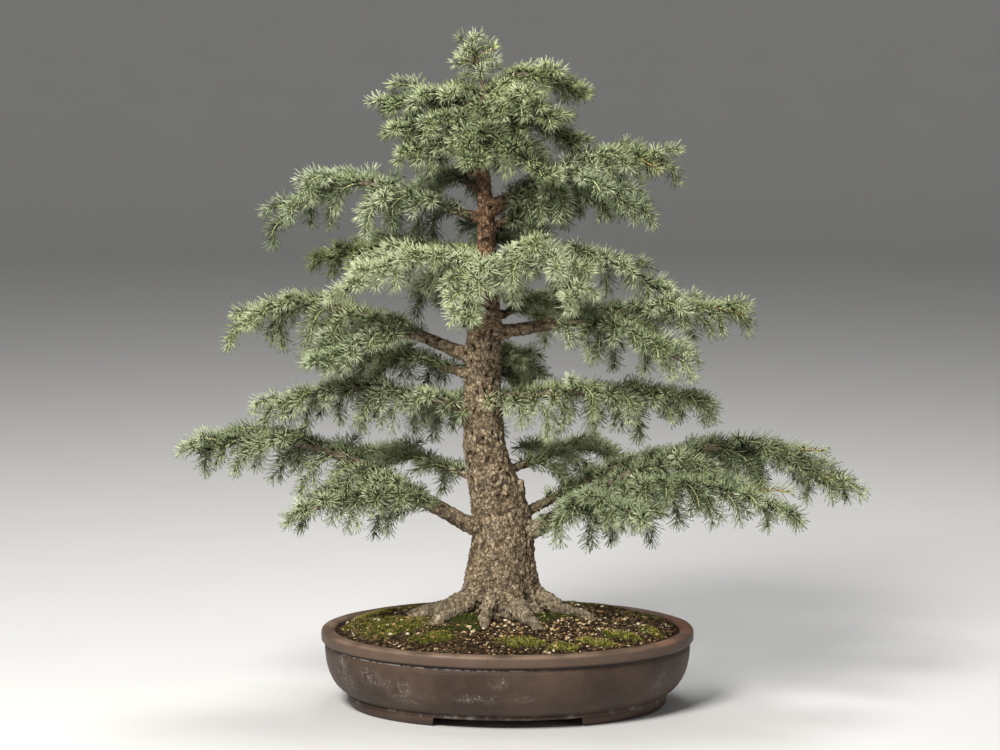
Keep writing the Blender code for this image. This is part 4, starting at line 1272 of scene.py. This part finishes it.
def bark_relief(place):
    """How far the bark's scales stand up at a place, how deep its pits are there, and
    how pale its cracks and pits are painted, where 0 is the darkest: painted shade in
    them, with the bark's own darker colour there."""
    bend = noise.noise_vector(place * 0.10) * 0.9
    spot = Vector((place.x / SCALE_WIDE, place.y / SCALE_WIDE, place.z / SCALE_TALL)) + bend
    near, second = noise.voronoi(spot)[0][:2]
    scale = min(1.0, (second - near) * 2.4)
    lumps = noise.fractal(place * 0.21, 0.9, 2.1, 3) * 0.8
    pit_spot = Vector((place.x * 0.15, place.y * 0.15, place.z * 0.115)) + Vector((3.0, 8.0, 1.0))
    pitted = limited((place.z - PITS_FROM_Z) / 60.0) * 0.6 + 0.4
    pit = limited((noise.noise(pit_spot) - 0.28) * 5.0) * pitted
    shade = min(1.0, 0.24 + scale * 1.1) * (1.0 - 0.85 * pit)
    return scale * 0.8 + lumps - 0.55, pit, shade


def scar_relief(place, scars):
    """How far a healed cut stands up at a place, how dark it is painted there and how far
    it smooths the bark: a raised lip, a groove inside it painted dark with shade, and a
    pale stump in the middle."""
    for centre, way, radius in scars:
        offset = np.array(place) - centre
        along = offset.dot(way)
        away = float(np.linalg.norm(offset - way * along)) / radius
        if abs(along) < SCAR_DEPTH and away < 1.8:
            lip = math.exp(-((away - 1.0) / 0.28) ** 2)
            groove = math.exp(-((away - 0.55) / 0.22) ** 2)
            height = lip * LIP_HEIGHT - groove * LIP_HEIGHT
            return height, 1.0 - 0.97 * groove, math.exp(-(away / 1.2) ** 4)
    return 0.0, 1.0, 0.0


def hollows(bm):
    """How far each corner lies below the form around it, in millimetres."""
    places = [vert.co.copy() for vert in bm.verts]
    normals = [vert.normal.copy() for vert in bm.verts]
    smoothed(bm, HOLLOW_PASSES)
    depths = [(vert.co - place).dot(normal) for vert, place, normal in zip(bm.verts, places, normals)]
    for vert, place in zip(bm.verts, places):
        vert.co = place
    return depths


def make_wood(lines, bark):
    """Trunk, roots, cuts and bare limbs grown together, with the bark's plates raised."""
    stems = [trunk_stem()]
    stems += [root_stem(*root) for root in ROOTS]
    stems += [cut_stem(*cut) for cut in CUTS]
    stems += [bare_limb(limb, lines[name]) for name, limb in LIMBS.items() if limb.reach]
    bm = grown_together(stems)
    scars = []
    for height, azimuth, radius, out in CUTS:
        middle, trunk_radius = trunk_point(height)
        way = compass(azimuth)
        scars.append((middle + way * (trunk_radius + out * 0.5), way, radius * 0.95))
    layers = [bm.verts.layers.float.new(name) for name in BARK_LAYERS]
    # The vector noise of the bark starts from this seed, and from the time without it
    noise.seed_set(BARK_SEED)
    moves = []
    for vert, depth in zip(bm.verts, hollows(bm)):
        place = vert.co
        middle, radius = trunk_point(place.z)
        away = math.hypot(place.x - middle[0], place.y - middle[1]) - radius
        on_limb = limited((away - 3.0) / 14.0) if place.z > LIMBS_FROM_Z else 0.0
        on_root = limited((away - 2.0) / 12.0) if place.z < ROOTS_UP_TO_Z else 0.0
        raised, pit, shade = bark_relief(place)
        scar, scar_shade, smooth = scar_relief(place, scars)
        slim = min(1.0, 0.35 + radius / 30) * (1.0 - 0.45 * on_limb)
        raised *= (1.0 - 0.5 * on_root) * (1.0 - smooth)
        relief = SCALE_RELIEF * raised - PIT_DEPTH * pit * (1.0 - on_root) * (1.0 - smooth)
        moves.append(vert.normal * (slim * relief + scar))
        # The crack layer: painted shade in cracks, pits and the cuts' grooves, with the bark's darker
        # colour there, less on the roots and the cut stumps.
        crack = min(1.0, shade + 0.35 * on_root + smooth) * scar_shade
        for layer, value in zip(layers, (crack, on_limb, max(on_root, 0.35 * on_limb), depth, away)):
            vert[layer] = value
    for vert, move in zip(bm.verts, moves):
        vert.co += move
    piece = as_piece("trunk_and_roots", bm, [bark], recalculate=False)
    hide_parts("wood")


# Sprays

def needles_on(line, draw, shade, spacing=NEEDLE_SPACING, on_core=False):
    """Places, ways, lengths, widths, tones and hues of the needles round one shoot.
    Those on the core of a limb lean further out."""
    length = line_length(line)
    count = max(14, int(length / spacing))
    total = count + TIP_NEEDLES
    order = np.arange(total)
    shares = np.minimum(1.0, (order + 0.5) / count)
    tip = shares > 1.0 - 3.0 / length
    roots, ways = at_shares(line, shares)
    turn = order * NEEDLE_TURN + draw.uniform(-0.5, 0.5, total)
    lean = np.where(tip, draw.uniform(0.15, 0.85, total), draw.uniform(0.72, 1.04, total))
    if on_core:
        lean = draw.uniform(0.7, 1.5, total)
    ways = units(leaning(ways, *crosswise(ways, 0.98), turn, lean) + UP * NEEDLE_LIFT)
    lengths = draw.uniform(*NEEDLE_LENGTH, total) * np.where(tip, 0.85, 1.0)
    widths = draw.uniform(*NEEDLE_WIDTH, total)
    # Needles are lighter towards the shoot's end, as young needles are, and darker towards its root,
    # which is also painted shade inside the spray.
    tones = shade + 0.34 * shares ** 2 + draw.uniform(-0.22, 0.22, total)
    return roots, ways, lengths, widths, tones, np.full(total, draw.uniform(-0.12, 0.12))


def rosettes_on(line, radii, draw):
    """Stars of needles on the short spurs along the top and sides of a limb."""
    count = int(line_length(line) / ROSETTE_SPACING)
    shares = (np.arange(count) + draw.uniform(0.2, 0.8, count)) / count
    middles, ways = at_shares(line, shares)
    across = units(np.cross(ways, UP))
    upper = np.cross(across, ways)
    tilt = draw.uniform(-1.5, 1.5, count)[:, None]
    spurs = upper * np.cos(tilt) + across * np.sin(tilt)
    width = np.interp(shares, np.linspace(0.0, 1.0, len(radii)), radii)
    roots = middles + spurs * width[:, None] * 0.8
    roots, spurs, ways = (np.repeat(rows, ROSETTE_NEEDLES, axis=0) for rows in (roots, spurs, ways))
    side = units(np.cross(spurs, ways))
    total = len(roots)
    turn = np.arange(total) * NEEDLE_TURN + draw.uniform(-0.5, 0.5, total)
    ways = leaning(spurs, side, np.cross(spurs, side), turn, draw.uniform(0.2, 1.35, total))
    lengths = draw.uniform(*NEEDLE_LENGTH, total) * 0.85
    widths = draw.uniform(*NEEDLE_WIDTH, total)
    tones = np.repeat(draw.uniform(ROSETTE_TONE - 0.12, ROSETTE_TONE + 0.18, count), ROSETTE_NEEDLES)
    tones = tones + draw.uniform(-0.2, 0.2, total)
    return roots, ways, lengths, widths, tones, np.full(total, draw.uniform(-0.12, 0.12))


def make_spray(name, number, line, finishes):
    """One leafy spray: its core, side twigs and branchlets, and its needles."""
    limb = LIMBS[name]
    draw = np.random.default_rng(1000 + number)
    shares = np.linspace(limb.bare, 1.0, 2 * LIMB_STEPS)
    leafy = at_shares(line, shares)[0]
    radii = [limb_radius(limb, share) * 0.9 for share in shares]
    shoots, new_shoots, needles = [], [], []

    def grow(shoot, radii, shade):
        shoots.append(tapered(shoot, radii))
        needles.append(needles_on(shoot, draw, shade))

    if limb.reach:
        # The needles round the core get a low tone: painted shade inside the spray.
        needles += [needles_on(leafy, draw, 0.15, on_core=True), rosettes_on(leafy, radii, draw)]
    else:
        tip = at_shares(leafy, np.linspace(1.0 - LEADER_TIP, 1.0, 5))[0]
        needles.append(needles_on(tip, draw, 0.4))
    if name.startswith(LEAFY_TO_TRUNK) and "back" not in name:
        inner = at_shares(line, np.linspace(limb.bare * 0.25, limb.bare, 5))[0]
        needles.append(rosettes_on(inner, [limb_radius(limb, limb.bare)] * 5, draw))
        for twig in inner_twigs(line, limb.bare, draw):
            grow(twig, TWIG_RADII, draw.uniform(0.25, 0.6))
    for index in range(twig_count(limb)):
        twig = kept_inside(twig_line(limb, number, line, index))
        shade = draw.uniform(0.12, 0.58)
        grow(twig, TWIG_RADII, shade)
        for branchlet in branchlet_lines(twig, draw) if limb.reach else []:
            grow(branchlet, BRANCHLET_RADII, shade + draw.uniform(-0.1, 0.15))
    for share, turn, pitch, droop, length in NEW_SHOOTS.get(name, ()):
        root, way = at_share(line, share)
        heading = unit(turned(way, turn)) if limb.reach else compass(turn)
        shoot = kept_inside(arched(root, heading, pitch, droop, length))
        new_shoots.append(tapered(shoot, NEW_SHOOT_RADII))
        *leaves, hues = needles_on(shoot, draw, NEW_SHOOT_TONE, NEW_SHOOT_SPACING)
        needles.append((*leaves, hues - NEW_SHOOT_YELLOWER))
    make_twigs(name, [(leafy, radii)], shoots, new_shoots, finishes)
    make_needles(name, needles, limb, draw, finishes["needles"])


def make_needles(name, needles, limb, draw, finish):
    """The needles of one spray, each lighter in colour towards its tip, and all of them
    lighter where their limb has painted light and darker where it has painted shade.
    """
    roots, ways, lengths, widths, tones, hues = (np.concatenate(part) for part in zip(*needles))
    blade = template(needle_blade)
    axes = blade_axes(ways, widths, lengths, draw.uniform(0, math.tau, len(roots)))
    # The limb's painted light and shade makes all its needles lighter or darker.
    tone = np.clip(tones[:, None] + limb.paler - 0.08 + 0.27 * blade[0][:, 2][None], 0.0, 1.1)
    blue = np.clip(0.85 - limb.yellower + hues - 0.35 * np.clip(tones - 0.5, 0, 1), 0, 1)
    attributes = {"tone": tone, "blue": np.repeat(blue, len(blade[0]))}
    piece = copies("needles_" + name, blade, roots, axes, attributes, finish)
    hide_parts("spray_" + name)


def make_twigs(name, core, shoots, new_shoots, finishes):
    """The stems of a spray: brown wood in the core, green and new shoots outside it."""
    bm = bmesh.new()
    used = []
    kinds = (("young bark", core, 7), ("shoots", shoots, 3), ("new shoots", new_shoots, 5))
    for kind, lines, sides in kinds:
        if not lines:
            continue
        before = len(bm.faces)
        take_in(bm, tubes(kind, lines, sides))
        bm.faces.ensure_lookup_table()
        for face in bm.faces[before:]:
            face.material_index = len(used)
        used.append(finishes[kind])
    piece = as_piece("twigs_" + name, bm, used)
    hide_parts("spray_" + name)


# Studio

def make_camera():
    camera = bpy.data.cameras.new("camera")
    camera.lens = LENS
    camera.sensor_width = SENSOR
    camera.clip_end = 50.0
    holder = added("camera", camera)
    back = Vector((0.0, -math.cos(VIEW_PITCH), math.sin(VIEW_PITCH)))
    holder.location = VIEW_MIDDLE + back * VIEW_DISTANCE
    holder.rotation_euler = back.to_track_quat("Z", "Y").to_euler()
    bpy.context.scene.camera = holder


def make_lamp(name, place, size, power, colour):
    lamp = bpy.data.lights.new(name, "AREA")
    lamp.size = size
    lamp.energy = power
    lamp.color = colour
    holder = added(name, lamp)
    holder.location = place
    holder.rotation_euler = (Vector(place) - LIT_PLACE).to_track_quat("Z", "Y").to_euler()


def make_floor():
    """A pale floor that curves up into a plain backdrop all round."""
    outline = [(0.0, 0.0), (FLOOR_REACH, 0.0)]
    for step in range(1, BACKDROP_STEPS + 1):
        angle = math.pi / 2 * step / BACKDROP_STEPS
        outline.append((FLOOR_REACH + BACKDROP_CURVE * math.sin(angle),
                        BACKDROP_CURVE * (1 - math.cos(angle))))
    bm = turned_shape([*outline, (FLOOR_REACH + BACKDROP_CURVE, BACKDROP_TOP)], BACKDROP_SIDES)
    bmesh.ops.recalc_face_normals(bm, faces=bm.faces)
    bmesh.ops.reverse_faces(bm, faces=[face for face in bm.faces if face.normal.z < -0.01])
    for face in bm.faces:
        face.smooth = True
    floor = added("floor", as_mesh("floor", bm))
    finish = Finish("pale floor")
    colour = finish.mix(finish.noise(6, 2), (0.600, 0.610, 0.630), (0.625, 0.635, 0.655))
    floor.data.materials.append(finish.done(colour, 0.8))


def make_studio():
    make_floor()
    for light in LIGHTS:
        make_lamp(*light)
    world = bpy.data.worlds.new("studio")
    world.use_nodes = True
    background = world.node_tree.nodes["Background"]
    background.inputs["Color"].default_value = WORLD_COLOUR
    background.inputs["Strength"].default_value = WORLD_STRENGTH
    bpy.context.scene.world = world
    bpy.context.scene.view_settings.view_transform = "Standard"


def main():
    make_camera()
    make_studio()
    make_pot(clay_finish())
    make_soil(earth_finish())
    make_grains(grain_finish())
    make_moss(moss_finish())
    make_litter(litter_finish())
    plastic = plastic_finish()
    for name in ("drain_screen_left", "drain_screen_right"):
        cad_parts[name].data.materials.clear()
        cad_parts[name].data.materials.append(plastic)
    lines = {}
    for number, (name, limb) in enumerate(LIMBS.items()):
        lines[name] = limb_line(limb, number, lines)
    make_wood(lines, bark_finish())
    finishes = {
        "needles": needle_finish(),
        "young bark": young_bark_finish(),
        "shoots": shoot_finish(
            "green shoots", (0.40, 0.37, 0.19), (0.50, 0.54, 0.27), (0.55, 0.63, 0.34)),
        "new shoots": shoot_finish(
            "new shoots", (0.40, 0.22, 0.08), (0.48, 0.34, 0.12), (0.50, 0.43, 0.17)),
    }
    for number, name in enumerate(LIMBS):
        make_spray(name, number, lines[name], finishes)


main()
